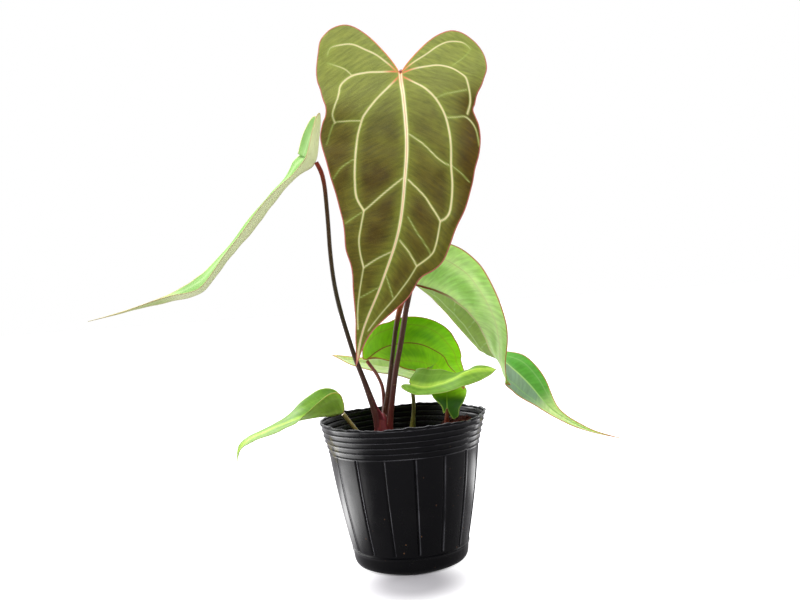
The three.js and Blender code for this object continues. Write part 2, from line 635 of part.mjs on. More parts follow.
const group = new THREE.Group();
const holes = [stemGeometry(CROWN, { sides: 12, grow: GAP })];
const sockets = [];
for (const [name, leaf] of Object.entries(LEAVES)) {
  const stem = cut(stemGeometry(leaf.stem), [bladeGeometry(leaf, { grow: GAP })]);
  const hole = stemGeometry(leaf.stem, { grow: GAP });
  if (['front', 'right', 'left', 'middle'].includes(name)) sockets.push(hole);
  else holes.push(hole);
  group.add(piece(`blade_${name}`, bladeGeometry(leaf), leaf.colour, 0.5));
  group.add(piece(`petiole_${name}`, stem, leaf.stemColour, 0.45));
}
group.add(piece('crown', cut(stemGeometry(CROWN, { sides: 12 }), sockets), '#3c1518', 0.5));
group.add(piece('soil', cut(soilGeometry(), holes), '#3a201a', 0.95));
group.add(piece('pot', potGeometry(), '#0b0b0d', 0.25));

export default group;
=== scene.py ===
import math

import bmesh
import bpy
import numpy as np
from mathutils import Matrix, Vector


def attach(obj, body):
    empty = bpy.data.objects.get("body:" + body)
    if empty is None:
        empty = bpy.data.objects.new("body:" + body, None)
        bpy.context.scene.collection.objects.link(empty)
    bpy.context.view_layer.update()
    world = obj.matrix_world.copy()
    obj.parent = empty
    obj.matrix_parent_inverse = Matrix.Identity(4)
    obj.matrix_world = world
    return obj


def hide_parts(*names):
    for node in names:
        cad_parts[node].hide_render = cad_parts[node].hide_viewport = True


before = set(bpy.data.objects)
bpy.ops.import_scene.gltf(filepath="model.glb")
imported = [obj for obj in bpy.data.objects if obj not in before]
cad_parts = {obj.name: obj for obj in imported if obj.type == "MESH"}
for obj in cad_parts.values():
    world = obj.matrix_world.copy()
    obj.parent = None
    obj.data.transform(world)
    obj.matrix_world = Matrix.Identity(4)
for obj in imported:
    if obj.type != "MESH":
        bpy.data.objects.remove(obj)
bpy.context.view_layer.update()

MM = 0.001

# Pot, as in the part's source
POT_HEIGHT = 91
RIM_RADIUS = 52.5
COLLAR_BOTTOM = 72
COLLAR_RADIUS = 47.3
BAND_TOP = 11.5
BAND_RADIUS = 37
WALL_BULGE = 0.8
FOOT_RADIUS = 32
POT_WALL = 0.8
POT_FLOOR = 1.2
RINGS = 5
PLEATS = 16
PLEAT_TURN = math.radians(6.5)
PLEAT_DEPTH = 0.7
PLEAT_WIDTH = 0.52  # half width of a pleat's groove
LIP_PLACE = 1.9  # where the lip beside a groove stands, in those half widths
LIP_HEIGHT = 0.42  # and how high, as a share of the groove's depth
RING_RELIEF = 0.65
RING_SHARPNESS = 3.0
DRAIN_HOLES = 8
DRAIN_RADIUS = 3
DRAIN_CIRCLE = 25

# Plant
GAP = 0.3
SOIL_HEIGHT = 72
SOIL_RISE = 11
BLADE = 0.8  # thickness of a blade at its midrib
MARGIN = 0.35  # thickness of a blade at its margin
FORWARD = 0.55  # how far a side vein runs forward for each step out
ROOT = 1  # the spine point where the petiole meets the blade
PER_SPAN = 16

LONG_HALF = [
    (0, 0), (-0.35, 0.1), (-0.8, 0.26), (-1, 0.46), (-0.85, 0.68), (-0.4, 0.88), (0.03, 0.98), (0.1, 1),
    (0.2, 0.95), (0.32, 0.84), (0.45, 0.67), (0.56, 0.51), (0.66, 0.35), (0.75, 0.19), (0.83, 0.1),
    (0.92, 0.05), (1, 0),
]


def long_half(length, width, lobe):
    """Half of a long leaf as it lies flat."""
    return [(s * (lobe if s < 0 else length), t * width) for s, t in LONG_HALF]


# Leaves, as in the part's source. A spine runs through the midrib, from one point behind the petiole
# to the tip. Face is the way that the upper side looks at the petiole. Left and right are the halves as
# they lie flat: points along the midrib and out from it. Turn gives, at distances along the midrib, how
# far the blade is twisted and its halves folded up, in degrees. Stem points are x, y, z, radius.
LEAVES = {
    "front": {
        "spine": [
            (14.9, -18, 336), (13.8, -24, 301), (14.5, -30, 284), (14.5, -35, 260), (12, -39, 238),
            (6, -43, 206), (-6, -44, 176), (-19, -42, 149), (-25, -40, 127.4),
        ],
        "face": (0, -1, 0.15),
        "left": [
            (0, 0), (-5.6, 3.9), (-13, 10.6), (-20, 17.8), (-24.5, 24), (-27.5, 31), (-27.5, 37),
            (-25, 43), (-20, 49), (-13, 52.5), (-3, 53), (7, 51), (13, 48.5), (18, 44.5), (24, 42.5),
            (27.5, 41), (31.5, 42), (36, 43.5), (43, 44), (51, 43), (58.5, 41), (67.5, 40), (81.5, 37),
            (93.5, 32.5), (107.5, 30), (114, 26.5), (121, 20.5), (132.5, 18), (142, 13.5), (151.5, 9),
            (160, 5.5), (171, 2.5), (183, 0),
        ],
        "right": [
            (0, 0), (-5.4, 2.9), (-9.8, 5.8), (-15, 9.8), (-22.3, 16), (-28, 22), (-32, 27.5),
            (-34, 33), (-33.5, 39), (-31, 44), (-25.5, 48.5), (-18, 50), (-7.5, 51.5), (-0.5, 51),
            (5.5, 49), (18, 47), (23.5, 47.5), (28.5, 50), (37, 52), (48.5, 50.5), (64, 46),
            (78.5, 40.5), (92.5, 36), (109, 30.5), (119.5, 26.5), (129, 19.5), (140.5, 14.5),
            (152, 8.5), (160, 5), (174, 1.5), (183, 0),
        ],
        "turn": [(-30, 0, 4), (0, 0, 10), (60, 0, 8), (183, 0, 10)],
        "curl": -16,
        "ripple": 0.6,
        "wave": 45,
        "grid": (330, 70),
        "stem": [
            (-9, -6.5, 73, 2.2), (-8, -6.5, 87, 2.2), (-6.9, -6.5, 94, 2), (-4.9, -7, 105, 1.8),
            (-1.8, -8, 120.8, 1.75), (1.4, -9, 133.2, 1.75), (4.4, -10, 145.6, 1.75),
            (7.4, -11, 158.5, 1.7), (11.4, -12, 173.2, 1.7), (15.8, -12, 191.5, 1.65),
            (19.2, -11, 213.1, 1.6), (21, -10, 237.9, 1.6), (20.9, -10, 262.7, 1.6),
            (19.3, -11, 284.4, 1.6), (17, -14.5, 298.5, 1.8), (14.8, -19.5, 302.5, 1.8),
            (13.8, -23.8, 301, 1.5),
        ],
    },
    "right": {
        "spine": [
            (6.3, 6, 178.1), (12.5, 8, 173.5), (20, 11, 171.6), (37.5, 18, 163.3), (54.7, 27, 145.9),
            (64, 38, 125), (69.5, 44, 117.5), (75.6, 50, 113.5), (88.9, 56, 99.9), (101.6, 56, 83.1),
            (112, 53, 73.6), (129.9, 48, 63.3), (149.5, 42, 57.8),
        ],
        "face": (0, 1, 0.2),
        "left": [
            (0, 0), (-8, 3), (-18, 9), (-21, 16), (-17, 22), (-5, 26.5), (8, 28), (20, 28), (40, 26.5),
            (60, 24), (80, 21), (95, 18), (112, 15), (126, 12), (138, 8), (148, 4.5), (158, 2.6),
            (170, 2), (198, 0),
        ],
        "right": [
            (0, 0), (-8, 3), (-18, 9), (-22, 16), (-18, 23), (-5, 29), (8, 31), (20, 31.5), (30, 29),
            (45, 26), (60, 24), (80, 21), (95, 18), (112, 15), (126, 12), (138, 8.6), (150, 5.4),
            (162, 3.8), (180, 2.3), (198, 0),
        ],
        "turn": [
            (0, 39, 49), (14, 37, 41), (28, 38, 33), (35, 44, 22), (42, 49, 14), (56, 60, 2),
            (70, 69, -4), (84, 82, -10), (91, 90, -17), (98, 102, -17), (105, 120, -8), (112, 136, 3),
            (126, 153, 7), (140, 153, 25), (154, 153, 30), (166, 152, 32), (180, 135, 40),
            (199, 130, 40),
        ],
        "ripple": 0.8,
        "wave": 38,
        "grid": (220, 30),
        "stem": [
            (-12, -1.5, 73, 2), (-11.6, -1.6, 87, 2), (-10.4, -2.2, 95, 1.7), (-8.1, -3, 105, 1.6),
            (-5, -3, 120.5, 1.5), (-2.6, -1.5, 132.9, 1.45), (-0.1, 0, 145.4, 1.5), (2.7, 2, 156, 1.8),
            (5.7, 4, 164, 1.8), (9.2, 5.6, 170.6, 1.6), (12.5, 7.9, 173.4, 1.4),
        ],
    },
    "left": {
        "spine": [
            (-38.4, 4, 272.1), (-43.4, 5, 256.1), (-52.5, 5, 250.4), (-62.8, 4, 242.6),
            (-74.9, 1, 228.3), (-88.5, -3, 211.9), (-101.6, -7, 197.9), (-113.9, -9, 182.8),
            (-122.2, -10, 177), (-138.4, -11, 174), (-155, -12, 171.5), (-169.6, -12, 168.5),
            (-189.6, -12, 164.9),
        ],
        "face": (-0.62, 0, 0.78),
        "left": long_half(183, 27, 29),
        "right": long_half(183, 27, 29),
        "turn": [
            (-26, -15, 25), (0, -17, 22), (10, -15, 13), (20, -10, 6), (30, -10, 8), (40, -10, 10),
            (60, -9, 13), (80, -11, 12), (90, -13, 14), (100, -17, 20), (110, -25, 30),
            (120, -22, 34), (130, -11, 33), (140, -6, 33), (150, -7, 24), (165, -8, 17), (183, -4, 6),
        ],
        "ripple": 0.6,
        "wave": 40,
        "grid": (220, 30),
        "stem": [
            (-15.5, -5, 73, 2.2), (-15.8, -5, 88, 2.3), (-17, -5, 97, 2.3), (-19.5, -5, 106, 2),
            (-22.6, -4, 116.3, 1.7), (-26.8, -3, 129.5, 1.5), (-30.2, -1, 142.6, 1.45),
            (-34.5, 1, 161.5, 1.45), (-37.1, 3, 178.5, 1.4), (-38.2, 4, 197.4, 1.4),
            (-38.3, 5, 216.2, 1.4), (-38.6, 6, 232.3, 1.4), (-39, 6, 241.1, 1.4),
            (-40.3, 5.6, 249, 1.5), (-43, 5, 255.6, 1.4),
        ],
    },
    "middle": {
        "spine": [
            (-30, 14, 121), (-20.5, 15, 126.5), (-12.6, 16, 131.5), (-4.9, 17, 134.4), (4.7, 18, 135.4),
            (12.7, 19, 134.5), (20.1, 20, 131.4), (29.3, 20, 125.4), (33, 18.5, 118.4),
            (38.5, 15, 111), (41.5, 12, 103),
        ],
        "face": (0, -0.8, 0.6),
        "left": [
            (0, 0), (-1.5, 2), (0, 5), (3.5, 9), (8, 12.5), (13, 15.5), (17.5, 17), (21, 17),
            (25, 18.4), (33.5, 20.2), (41, 21.4), (45, 21.3), (49, 20.5), (52.5, 18.7), (55, 16),
            (58, 13.5), (65, 10), (72, 6), (78, 3), (82, 0),
        ],
        "right": [
            (0, 0), (4, 1.8), (7.5, 6), (12, 11), (20.5, 18), (28.5, 21.5), (40, 22), (50, 20),
            (60, 16), (69, 10), (76, 4.5), (82, 0),
        ],
        "turn": [(0, 0, 8), (60, 0, 5), (92, 0, 20)],
        "ripple": 0.5,
        "wave": 24,
        "grid": (140, 26),
        "stem": [
            (-12.5, 2.8, 73, 1.5), (-12, 2.7, 88, 1.5), (-11, 3, 97, 1.3), (-10.8, 4, 104.5, 1.2),
            (-11.3, 6, 109.4, 1.15), (-12.7, 8.5, 113.7, 1.15), (-15.1, 11.5, 118.4, 1.15),
            (-17.6, 14, 121.8, 1.15), (-20.2, 15.3, 125.8, 1.2),
        ],
    },
    "back": {
        "spine": [
            (18, 31, 108.5), (10.7, 34, 112.4), (0.7, 38, 116.6), (-12.5, 40, 119.2), (-26, 41, 122.6),
            (-36, 41, 126), (-44.6, 40, 129.3),
        ],
        "face": (0, -0.45, 0.9),
        "left": [
            (0, 0), (-3, 3), (-4, 7), (-1, 9), (4, 10.5), (10, 12), (19, 13), (25, 12.8), (32, 11),
            (38, 9.8), (45, 8.6), (50, 6), (54.5, 2.5), (59, 0),
        ],
        "right": [
            (0, 0), (-2, 1.5), (0, 3), (3, 4), (8, 7), (14, 10), (22, 11), (30, 9), (36, 6), (41, 4.2),
            (46, 3.4), (51, 2.4), (55, 1.4), (59, 0),
        ],
        "turn": [(0, 0, 15), (60, 0, 20)],
        "grid": (100, 18),
        "stem": [
            (7.2, 12, 62, 1.2), (7.2, 12.8, 76, 1.2), (7.6, 15, 88, 1.1), (8.2, 20, 96.5, 1.1),
            (8.1, 26, 102.5, 1.1), (8.8, 31, 107.8, 1.1), (10.4, 33.6, 111.9, 1.1),
        ],
    },
    "small_right": {
        "spine": [
            (2.8, -10, 113.2), (6.7, -11.5, 111.5), (16.7, -13, 109.1), (24.8, -15, 110.6),
            (32.9, -17, 113.4), (39.3, -18, 116.7), (47.4, -18, 118.4), (54.9, -17, 118),
            (60.1, -16, 117.4),
        ],
        "face": (0, -0.5, 0.86),
        "left": [
            (0, 0), (-2, 2), (-3, 6), (-3, 10), (0, 13), (5, 13.6), (10, 14), (20, 14), (30, 13),
            (38, 11.5), (45, 9), (51, 5.5), (56, 0),
        ],
        "right": [
            (0, 0), (-2, 1.5), (-3, 4), (-2.5, 8), (0, 11.5), (4, 13), (10, 14), (20, 14), (30, 13),
            (38, 11.5), (45, 9), (51, 5.5), (56, 0),
        ],
        "turn": [
            (0, -3, 14), (5, 3, 18), (10, -1, 18), (15, -3, 15), (20, -5, 9), (25, -10, -1),
            (30, -13, -9), (35, -10, -15), (40, -8, -18), (45, -1, -15), (56, 0, 0),
        ],
        "ripple": 0.5,
        "wave": 20,
        "grid": (120, 20),
        "stem": [
            (4, -7, 62, 1.3), (4.6, -7.6, 76, 1.2), (5.6, -8, 85, 1.2), (7.2, -8, 92, 1.2),
            (7.9, -8.2, 100, 1.2), (7.8, -9.6, 106.5, 1.2), (8.3, -11.2, 110.8, 1.2),
        ],
    },
    "small_left": {
        "spine": [
            (-31.8, -16, 97.8), (-36, -17, 97.3), (-48.4, -20, 97.3), (-59.1, -23, 97.1),
            (-70.4, -25, 94.9), (-80.8, -26, 91.6), (-91.9, -27, 87.7), (-97.9, -27.5, 83.1),
            (-100.3, -27, 78.3), (-101.1, -26, 73.9),
        ],
        "face": (0, 0, 1),
        "left": [
            (0, 0), (-1, 2.5), (-1, 6), (0, 10), (2, 14), (6, 16.5), (12, 18), (20, 17), (30, 14.5),
            (40, 11), (50, 8), (60, 5.5), (70, 3), (76, 0),
        ],
        "right": [
            (0, 0), (-1.5, 2.5), (-1.5, 6), (-0.5, 10), (1, 14), (5, 16.5), (12, 18), (20, 17),
            (30, 14.5), (40, 11), (50, 8), (60, 5.5), (70, 3), (76, 0),
        ],
        "turn": [
            (0, 5, 66), (6, -3, 64), (12, -5, 52), (18, -3, 38), (24, -5, 23), (30, -6, 9),
            (36, -5, 3), (42, -7, -1), (54, -8, -2), (60, -13, -1), (66, -14, 9), (76, -18, 5),
        ],
        "grid": (120, 20),
        "stem": [
            (-21, -10, 62, 1.3), (-23.6, -11.4, 76, 1.3), (-29, -13.6, 86, 1.25),
            (-32.6, -15, 91.6, 1.25), (-36, -16.9, 97, 1.25),
        ],
    },
    "seedling": {
        "spine": [(29.8, 24, 81), (30.4, 27, 89.6), (30.9, 30, 96), (32, 34, 103), (34, 39, 109)],
        "face": (0, -0.85, 0.5),
        "left": [
            (0, 0), (-2, 1), (-3.8, 2.2), (-2.8, 2.8), (0.2, 3.5), (2.6, 5.1), (5.2, 8.2), (8, 10.2),
            (13, 11), (18, 8), (21.5, 4), (23.5, 0),
        ],
        "right": [
            (0, 0), (-2, 0.7), (-4.7, 1.9), (-7.5, 3.9), (-6.8, 6.5), (-5, 7.9), (-1, 8.4), (1.5, 10),
            (4, 11.6), (10.5, 13.4), (15, 12.4), (20, 7.5), (23.5, 0),
        ],
        "turn": [(0, 0, 12), (28, 0, 10)],
        "grid": (90, 18),
        "stem": [
            (28.8, 26.5, 68, 1.5), (29.1, 26.8, 76, 1.5), (29.8, 27, 83, 1.4), (30.4, 27.3, 89.2, 1.2),
        ],
    },
}

# Veins of the front blade as it lies flat: points along the midrib and out from it, with the width.
FRONT_VEINS = {
    "left": [
        (1.5, [(2, 1), (8, 8), (15, 15), (20, 19), (29, 23), (38, 25), (47, 26), (58, 26.5), (69, 28),
               (83, 28), (88, 26), (90, 23)]),
        (1.5, [(0, 1), (-2, 9), (-3, 17), (-3, 25), (0, 32), (7, 38), (14, 39.5), (23, 39.5), (30, 37)]),
        (1.2, [(-1, 1), (-6, 8), (-11, 16), (-17, 24), (-20, 31), (-20, 39), (-16, 44)]),
        (1.0, [(32, 24), (32, 30), (32, 36), (38, 41), (47, 43)]),
        (0.7, [(20, 19), (18, 24), (17, 30), (16, 38)]),
        (0.6, [(-16, 44), (-9, 39), (-3, 32)]),
        (1.0, [(40, 1), (46, 9), (55, 19), (58, 25)]),
        (1.2, [(68, 2), (77, 12), (83, 17), (90, 23)]),
        (1.1, [(90, 23), (95, 23), (102, 23), (107, 22), (115, 16)]),
        (1.1, [(104, 2), (109, 9), (115, 16)]),
        (0.6, [(90, 4), (97, 10), (102, 16), (107, 22)]),
        (0.8, [(115, 16), (124, 14), (134, 11), (146, 7), (160, 3)]),
        (0.6, [(58, 26.5), (62, 33), (66, 38)]),
        (0.6, [(126, 1), (131, 5), (137, 10)]),
    ],
    "right": [
        (1.6, [(2, 1), (9, 8), (17, 16), (25, 23), (30, 26), (41, 29), (57, 30), (72, 29), (82, 27),
               (90, 22)]),
        (1.5, [(-1, 1), (-1, 11), (-1, 20), (0, 29), (4, 36), (9, 38), (18, 41), (24, 43), (29, 42)]),
        (1.3, [(-2, 3), (-7, 8), (-12, 14), (-16, 21), (-20, 29), (-20, 37), (-19, 42), (-15, 44)]),
        (0.9, [(0, 29), (-5, 34), (-10, 44)]),
        (1.0, [(30, 26), (29, 36), (29, 42), (34, 45), (44, 48)]),
        (1.2, [(67, 1), (78, 12), (90, 22)]),
        (1.1, [(90, 22), (100, 22), (110, 21), (118, 18), (126, 13)]),
        (1.1, [(111, 0), (118, 7), (126, 13)]),
        (0.9, [(126, 13), (137, 11), (148, 8), (161, 3)]),
        (0.6, [(57, 30), (63, 37), (70, 42)]),
        (0.6, [(90, 22), (96, 27), (102, 31)]),
        (0.6, [(134, 1), (139, 5), (144, 9)]),
    ],
}


# Colour and node helpers


def linear(code):
    """An sRGB hex colour as linear red, green, blue and alpha."""
    parts = [int(code[i:i + 2], 16) / 255 for i in (1, 3, 5)]
    return (*[c / 12.92 if c <= 0.04045 else ((c + 0.055) / 1.055) ** 2.4 for c in parts], 1.0)


def add(tree, kind, links=None, **settings):
    """Adds a node. Links gives its sockets' values, or the nodes or sockets that feed them."""
    node = tree.nodes.new(kind)
    for name, value in settings.items():
        setattr(node, name, value)
    for key, value in (links or {}).items():
        if isinstance(key, int):
            socket = node.inputs[key]
        else:
            socket = next(s for s in node.inputs if s.enabled and key in (s.name, s.identifier))
        if isinstance(value, bpy.types.Node):
            value = next(s for s in value.outputs if s.enabled)
        if isinstance(value, bpy.types.NodeSocket):
            tree.links.new(value, socket)
        else:
            socket.default_value = value
    return node


def new_material(name):
    """An empty material, and its node tree."""
    material = bpy.data.materials.new(name)
    material.use_nodes = True
    material.node_tree.nodes.clear()
    return material, material.node_tree


# Leaf tissue


def blade_finish(
    name, cell, shade, near, vein, margin, gloss=0.5, through=0.5, relief=0.1, laterals=1.0,
    midrib=(0.8, 0.4), core=None, heart=None, band=None, tone_and_painted_light=None, tip=None, streak_shading=0.12, velvet=0.0,
    glowing=None, lobes=None, shine=0.3,
):
    """Living leaf: cells between the veins, a paler glow beside each vein, and a coloured margin.

    Cell and shade are the two colours that the cells drift between, and near is the tissue beside a vein. The
    second tone is the colour where the blade is of another tone: its own on the front blade, a painted
    grey-green sheen above and painted shade below on the right blade, and painted shade on the seedling.
    Through is how much light comes through the thin blade, and shine how much its skin reflects. Laterals is
    how clearly the side veins show. Midrib is its half width in millimetres at the petiole and at the tip,
    core the colour of the line in it, and glowing that of the flanks of a vein. Heart is the colour of the
    veins near the petiole, and how far it reaches. The midrib highlight is a painted highlight along the
    midrib, with its colour and half width. The streak strength is how much the streaks lighten and darken the
    colour, as painted light and shade. Tip colours the drip tip, and lobes the tissue round the petiole.
    Velvet is the sheen of the short upright cells of a velvety blade.
    """
    heart_colour, heart_reach = heart or (None, 30)
    band_colour, band_width = band or (None, 4)
    material, tree = new_material(name)
    veins, along, tone = [
        add(tree, "ShaderNodeAttribute", attribute_name=key) for key in ("veins", "along", "tone")
    ]
    parts = add(tree, "ShaderNodeSeparateXYZ", {"Vector": veins.outputs["Vector"]})
    drawn, beside, from_margin = [parts.outputs[axis] for axis in "XYZ"]
    along = along.outputs["Fac"]
    # The blade as it lies flat, in millimetres: along the midrib, and out from it.
    flat = add(tree, "ShaderNodeUVMap", uv_map="flat")
    flat = add(tree, "ShaderNodeVectorMath", {0: flat.outputs[0], "Scale": 100.0}, operation="SCALE")
    place = add(tree, "ShaderNodeSeparateXYZ", {"Vector": flat})
    out = add(tree, "ShaderNodeMath", {0: place.outputs["Y"]}, operation="ABSOLUTE")
    from_petiole = add(tree, "ShaderNodeVectorMath", {0: flat}, operation="LENGTH").outputs["Value"]
    # Clouds about 25 mm across: the slow drift of colour over a blade.
    clouds = add(tree, "ShaderNodeTexNoise", {"Vector": flat, "Scale": 0.04, "Detail": 3.0})
    drift = add(tree, "ShaderNodeMapRange", {"Value": clouds.outputs[0], "From Min": 0.38, "From Max": 0.62})
    # Streaks about 2 mm by 9 mm, that run out and forward as the side veins do: fine folds in the bump, and
    # painted light and shade of those folds in the colour.
    back = add(tree, "ShaderNodeMath", {
        0: out, 1: -FORWARD, 2: place.outputs["X"],
    }, operation="MULTIPLY_ADD")
    comb = add(tree, "ShaderNodeCombineXYZ", {"X": back, "Y": place.outputs["Y"]})
    comb = add(tree, "ShaderNodeMapping", {"Vector": comb, "Scale": (0.5, 0.11, 1.0)})
    streaks = add(tree, "ShaderNodeTexNoise", {
        "Vector": comb, "Scale": 1.0, "Detail": 4.0, "Roughness": 0.6,
    }).outputs[0]
    lights, rough = [
        add(tree, "ShaderNodeMapRange", {
            "Value": streaks, "From Min": 0.3, "From Max": 0.7, "To Min": low, "To Max": high,
        })
        for low, high in ((1 - 1.4 * streak_shading, 1 + streak_shading), (gloss - 0.05, gloss + 0.07))
    ]
    # Net of the finest veins, meshes about 2.5 mm across.
    net = add(tree, "ShaderNodeTexVoronoi", {"Vector": flat, "Scale": 0.4}, feature="DISTANCE_TO_EDGE")
    mesh = add(tree, "ShaderNodeMapRange", {
        "Value": net.outputs[0], "From Min": 0.0, "From Max": 0.09, "To Min": 1.0, "To Max": 0.0,
    })
    width = add(tree, "ShaderNodeMapRange", {
        "Value": along, "From Min": 0.0, "From Max": 0.75, "To Min": midrib[0], "To Max": midrib[1],
    })
    share = add(tree, "ShaderNodeMath", {0: out, 1: width}, operation="DIVIDE")
    # Smooth ramps: a value, where the ramp starts and ends, and what it gives there. The side veins are in
    # the blade's own attribute, the midrib in shares of its half width, and the margin in centimetres: a
    # line about 0.7 mm wide.
    ramps = {
        key: add(tree, "ShaderNodeMapRange", {
            "Value": value, "From Min": low, "From Max": high, "To Min": first, "To Max": last,
        }, interpolation_type="SMOOTHSTEP")
        for key, value, low, high, first, last in (
            ("cells", beside, 0.03, 0.4, 1.0, 0.0),
            ("lobes", place.outputs["X"], -15.0, 60.0, 0.7, 0.0),
            ("tip", along, 0.66, 0.76, 0.0, 1.0),
            ("band", out, 0.3 * band_width, band_width, 0.9, 0.0),
            ("heart", from_petiole, 0.3 * heart_reach, heart_reach, 0.0, 1.0),
            ("heart margin", from_petiole, 10.0, 45.0, 0.0, 1.0),
            ("flank", drawn, 0.1, 0.6, 0.0, 0.5 * laterals),
            ("vein", drawn, 0.5, 0.92, 0.0, laterals),
            ("midrib flank", share, 0.8, 2.4, 0.6, 0.0),
            ("midrib", share, 0.75, 1.3, 1.0, 0.0),
            ("midrib shine", share, 0.5, 1.1, 0.75, 0.0),
            ("fading", along, 0.05, 0.7, 1.0, 0.1),
            ("core", share, 0.12, 0.42, 0.85, 0.0),
            ("margin", from_margin, 0.03, 0.09, 1.0, 0.0),
        )
    }
    deep, glow, netted, bright = [
        add(tree, "ShaderNodeMath", {0: first, 1: second}, operation="MULTIPLY")
        for first, second in (
            (ramps["cells"], drift), (beside, 0.8), (mesh, 0.08), (ramps["midrib shine"], ramps["fading"]),
        )
    ]
    line, edge = linear(vein), linear(margin)
    if heart:
        line, edge = [
            add(tree, "ShaderNodeMix", {
                "Factor": ramps[key], "A": linear(heart_colour), "B": colour,
            }, data_type="RGBA")
            for key, colour in (("heart", line), ("heart margin", edge))
        ]
    # The colours from the ground up, each with how much it covers. A blade has the layers it is given.
    # Some layers are painted light: the second tone on the right blade and the seedling, the midrib
    # highlight, and the streaks' lightening and darkening.
    tissue = linear(cell)
    for factor, top in (
        (deep, shade), (glow, near), (netted, near), (ramps["lobes"], lobes), (tone.outputs["Fac"], tone_and_painted_light),
        (ramps["tip"], tip), (ramps["band"], band_colour), (1.0, lights), (ramps["flank"], glowing or near),
        (ramps["vein"], line), (ramps["midrib flank"], core and (glowing or near)), (ramps["midrib"], line),
        (bright, core and "#fbf6cc"), (ramps["core"], core), (ramps["margin"], edge),
    ):
        if top:
            tissue = add(tree, "ShaderNodeMix", {
                "Factor": factor, "A": tissue, "B": linear(top) if isinstance(top, str) else top,
            }, data_type="RGBA", blend_type="MULTIPLY" if top is lights else "MIX")
    # Cells 0.1 mm across are too fine to show, so the grain is drawn at 0.7 mm.
    height = add(tree, "ShaderNodeTexNoise", {"Vector": flat, "Scale": 1.4, "Detail": 2.0}).outputs[0]
    for value, amount in ((streaks, 1.2), (mesh, -0.2)):
        height = add(tree, "ShaderNodeMath", {0: value, 1: amount, 2: height}, operation="MULTIPLY_ADD")
    bump = add(tree, "ShaderNodeBump", {"Height": height, "Strength": relief, "Distance": 0.0005})
    shader = add(tree, "ShaderNodeBsdfPrincipled", {
        "Base Color": tissue, "Roughness": rough, "IOR": 1.42, "Normal": bump,
        "Subsurface Weight": through, "Subsurface Radius": (0.9, 1.0, 0.35), "Subsurface Scale": 0.0016,
        "Sheen Weight": velvet, "Sheen Roughness": 0.35, "Sheen Tint": linear("#dfe3c0"),
        "Specular IOR Level": shine,
    })
    add(tree, "ShaderNodeOutputMaterial", {"Surface": shader})
    return material


# Velvety blade: short upright cells make it dull and deep, brown in the cells and green by the veins.
velvet_upper = blade_finish(
    "velvet_blade_upper", "#67641c", "#463a08", "#727c2c", "#d3c898", "#b0605c", gloss=0.62, through=0.22,
    relief=0.3, midrib=(1.35, 0.6), core="#d6a488", heart=("#d27a50", 12), tone_and_painted_light="#4e3c04", streak_shading=0.22,
    velvet=0.15, glowing="#8fa24c", lobes="#8c9648", shine=0.25,
)
velvet_under = blade_finish(
    "velvet_blade_underside", "#8d9a58", "#7c7a44", "#a5b070", "#d8d49c", "#9c4642", gloss=0.6,
    through=0.35, relief=0.2, midrib=(1.5, 0.6), heart=("#a85a3c", 25),
)
# Satin blade: a waxy skin over bright green, with pale veins. Its second tone is painted: a grey-green
# sheen on the upper side and shade on the underside.
green_upper = blade_finish(
    "green_blade_upper", "#5aa434", "#4a9430", "#6aa84c", "#a4cc78", "#b07848", gloss=0.45, laterals=0.4,
    relief=0.03, midrib=(0.9, 0.5), tone_and_painted_light="#7d9c78", tip="#cfe39a",
)
green_under = blade_finish(
    "green_blade_underside", "#d4f6a4", "#aeda76", "#daf6b0", "#d8d6a0", "#a8583a", gloss=0.55,
    relief=0.03, laterals=0.7, midrib=(0.7, 0.6), heart=("#8c4c2c", 40), tone_and_painted_light="#96b64e", tip="#cfe39a",
)
# The left blade, seen along its edge, is paler, partly with painted light: the light that comes through it is
# painted into its pale colour, so it lets no light through and has no shine. Its margin is hardly coloured.
slender_upper = blade_finish(
    "slender_blade_upper", "#8cb469", "#7aa45a", "#a8cc8c", "#d6e8b4", "#c6bd8a", through=0.0, laterals=0.3,
    relief=0.02, midrib=(0.9, 0.6), tip="#cfe39a", streak_shading=0.01, shine=0.0,
)
slender_under = blade_finish(
    "slender_blade_underside", "#f0f8c4", "#ecf4bc", "#f2f9cc", "#dcd9a8", "#c9a984", through=0.0,
    relief=0.02, laterals=0.3, midrib=(0.7, 0.6), tip="#cfe39a", streak_shading=0.01, shine=0.0,
)
# Young blade: thin, saturated green that light comes through, with brown veins and margin.
bright_upper = blade_finish(
    "bright_blade_upper", "#8cd00a", "#70b408", "#98d41c", "#8c6020", "#9c5a24", gloss=0.42, through=0.6,
    laterals=0.35, midrib=(0.45, 0.35),
)
bright_under = blade_finish(
    "bright_blade_underside", "#7fb434", "#73a42c", "#93c04c", "#9a7a3c", "#9c5a24", through=0.6,
    laterals=0.35, midrib=(0.6, 0.4),
)
pale_upper = blade_finish(
    "pale_blade_upper", "#c4de92", "#b2d07c", "#d6e8ac", "#e6eec0", "#c08a3c", through=0.6, laterals=0.6,
    midrib=(0.6, 0.4),
)
# Small blade: satin green with a painted yellow highlight along the midrib, and no clear side veins.
banded_upper = blade_finish(
    "banded_blade_upper", "#648c2e", "#547c26", "#709638", "#b0c856", "#869c48", gloss=0.42, laterals=0.12,
    through=0.35, midrib=(0.5, 0.3), band=("#98bc44", 4.2), shine=0.12,
)
small_under = blade_finish(
    "small_blade_underside", "#8eb240", "#7ea238", "#9cbe54", "#9cb45c", "#a08a50", laterals=0.2,
    midrib=(0.5, 0.4),
)
# Seedling blade: yellow-green, with painted shade at its foot, where it hangs in front of the dark pot rim
# and no light comes through it.
seedling_upper = blade_finish(
    "seedling_blade_upper", "#98cc10", "#86bc0c", "#98cc10", "#98c038", "#8fae4c", gloss=0.42, through=0.5,
    laterals=0.0, midrib=(0.4, 0.3), tone_and_painted_light="#2c6414",
)

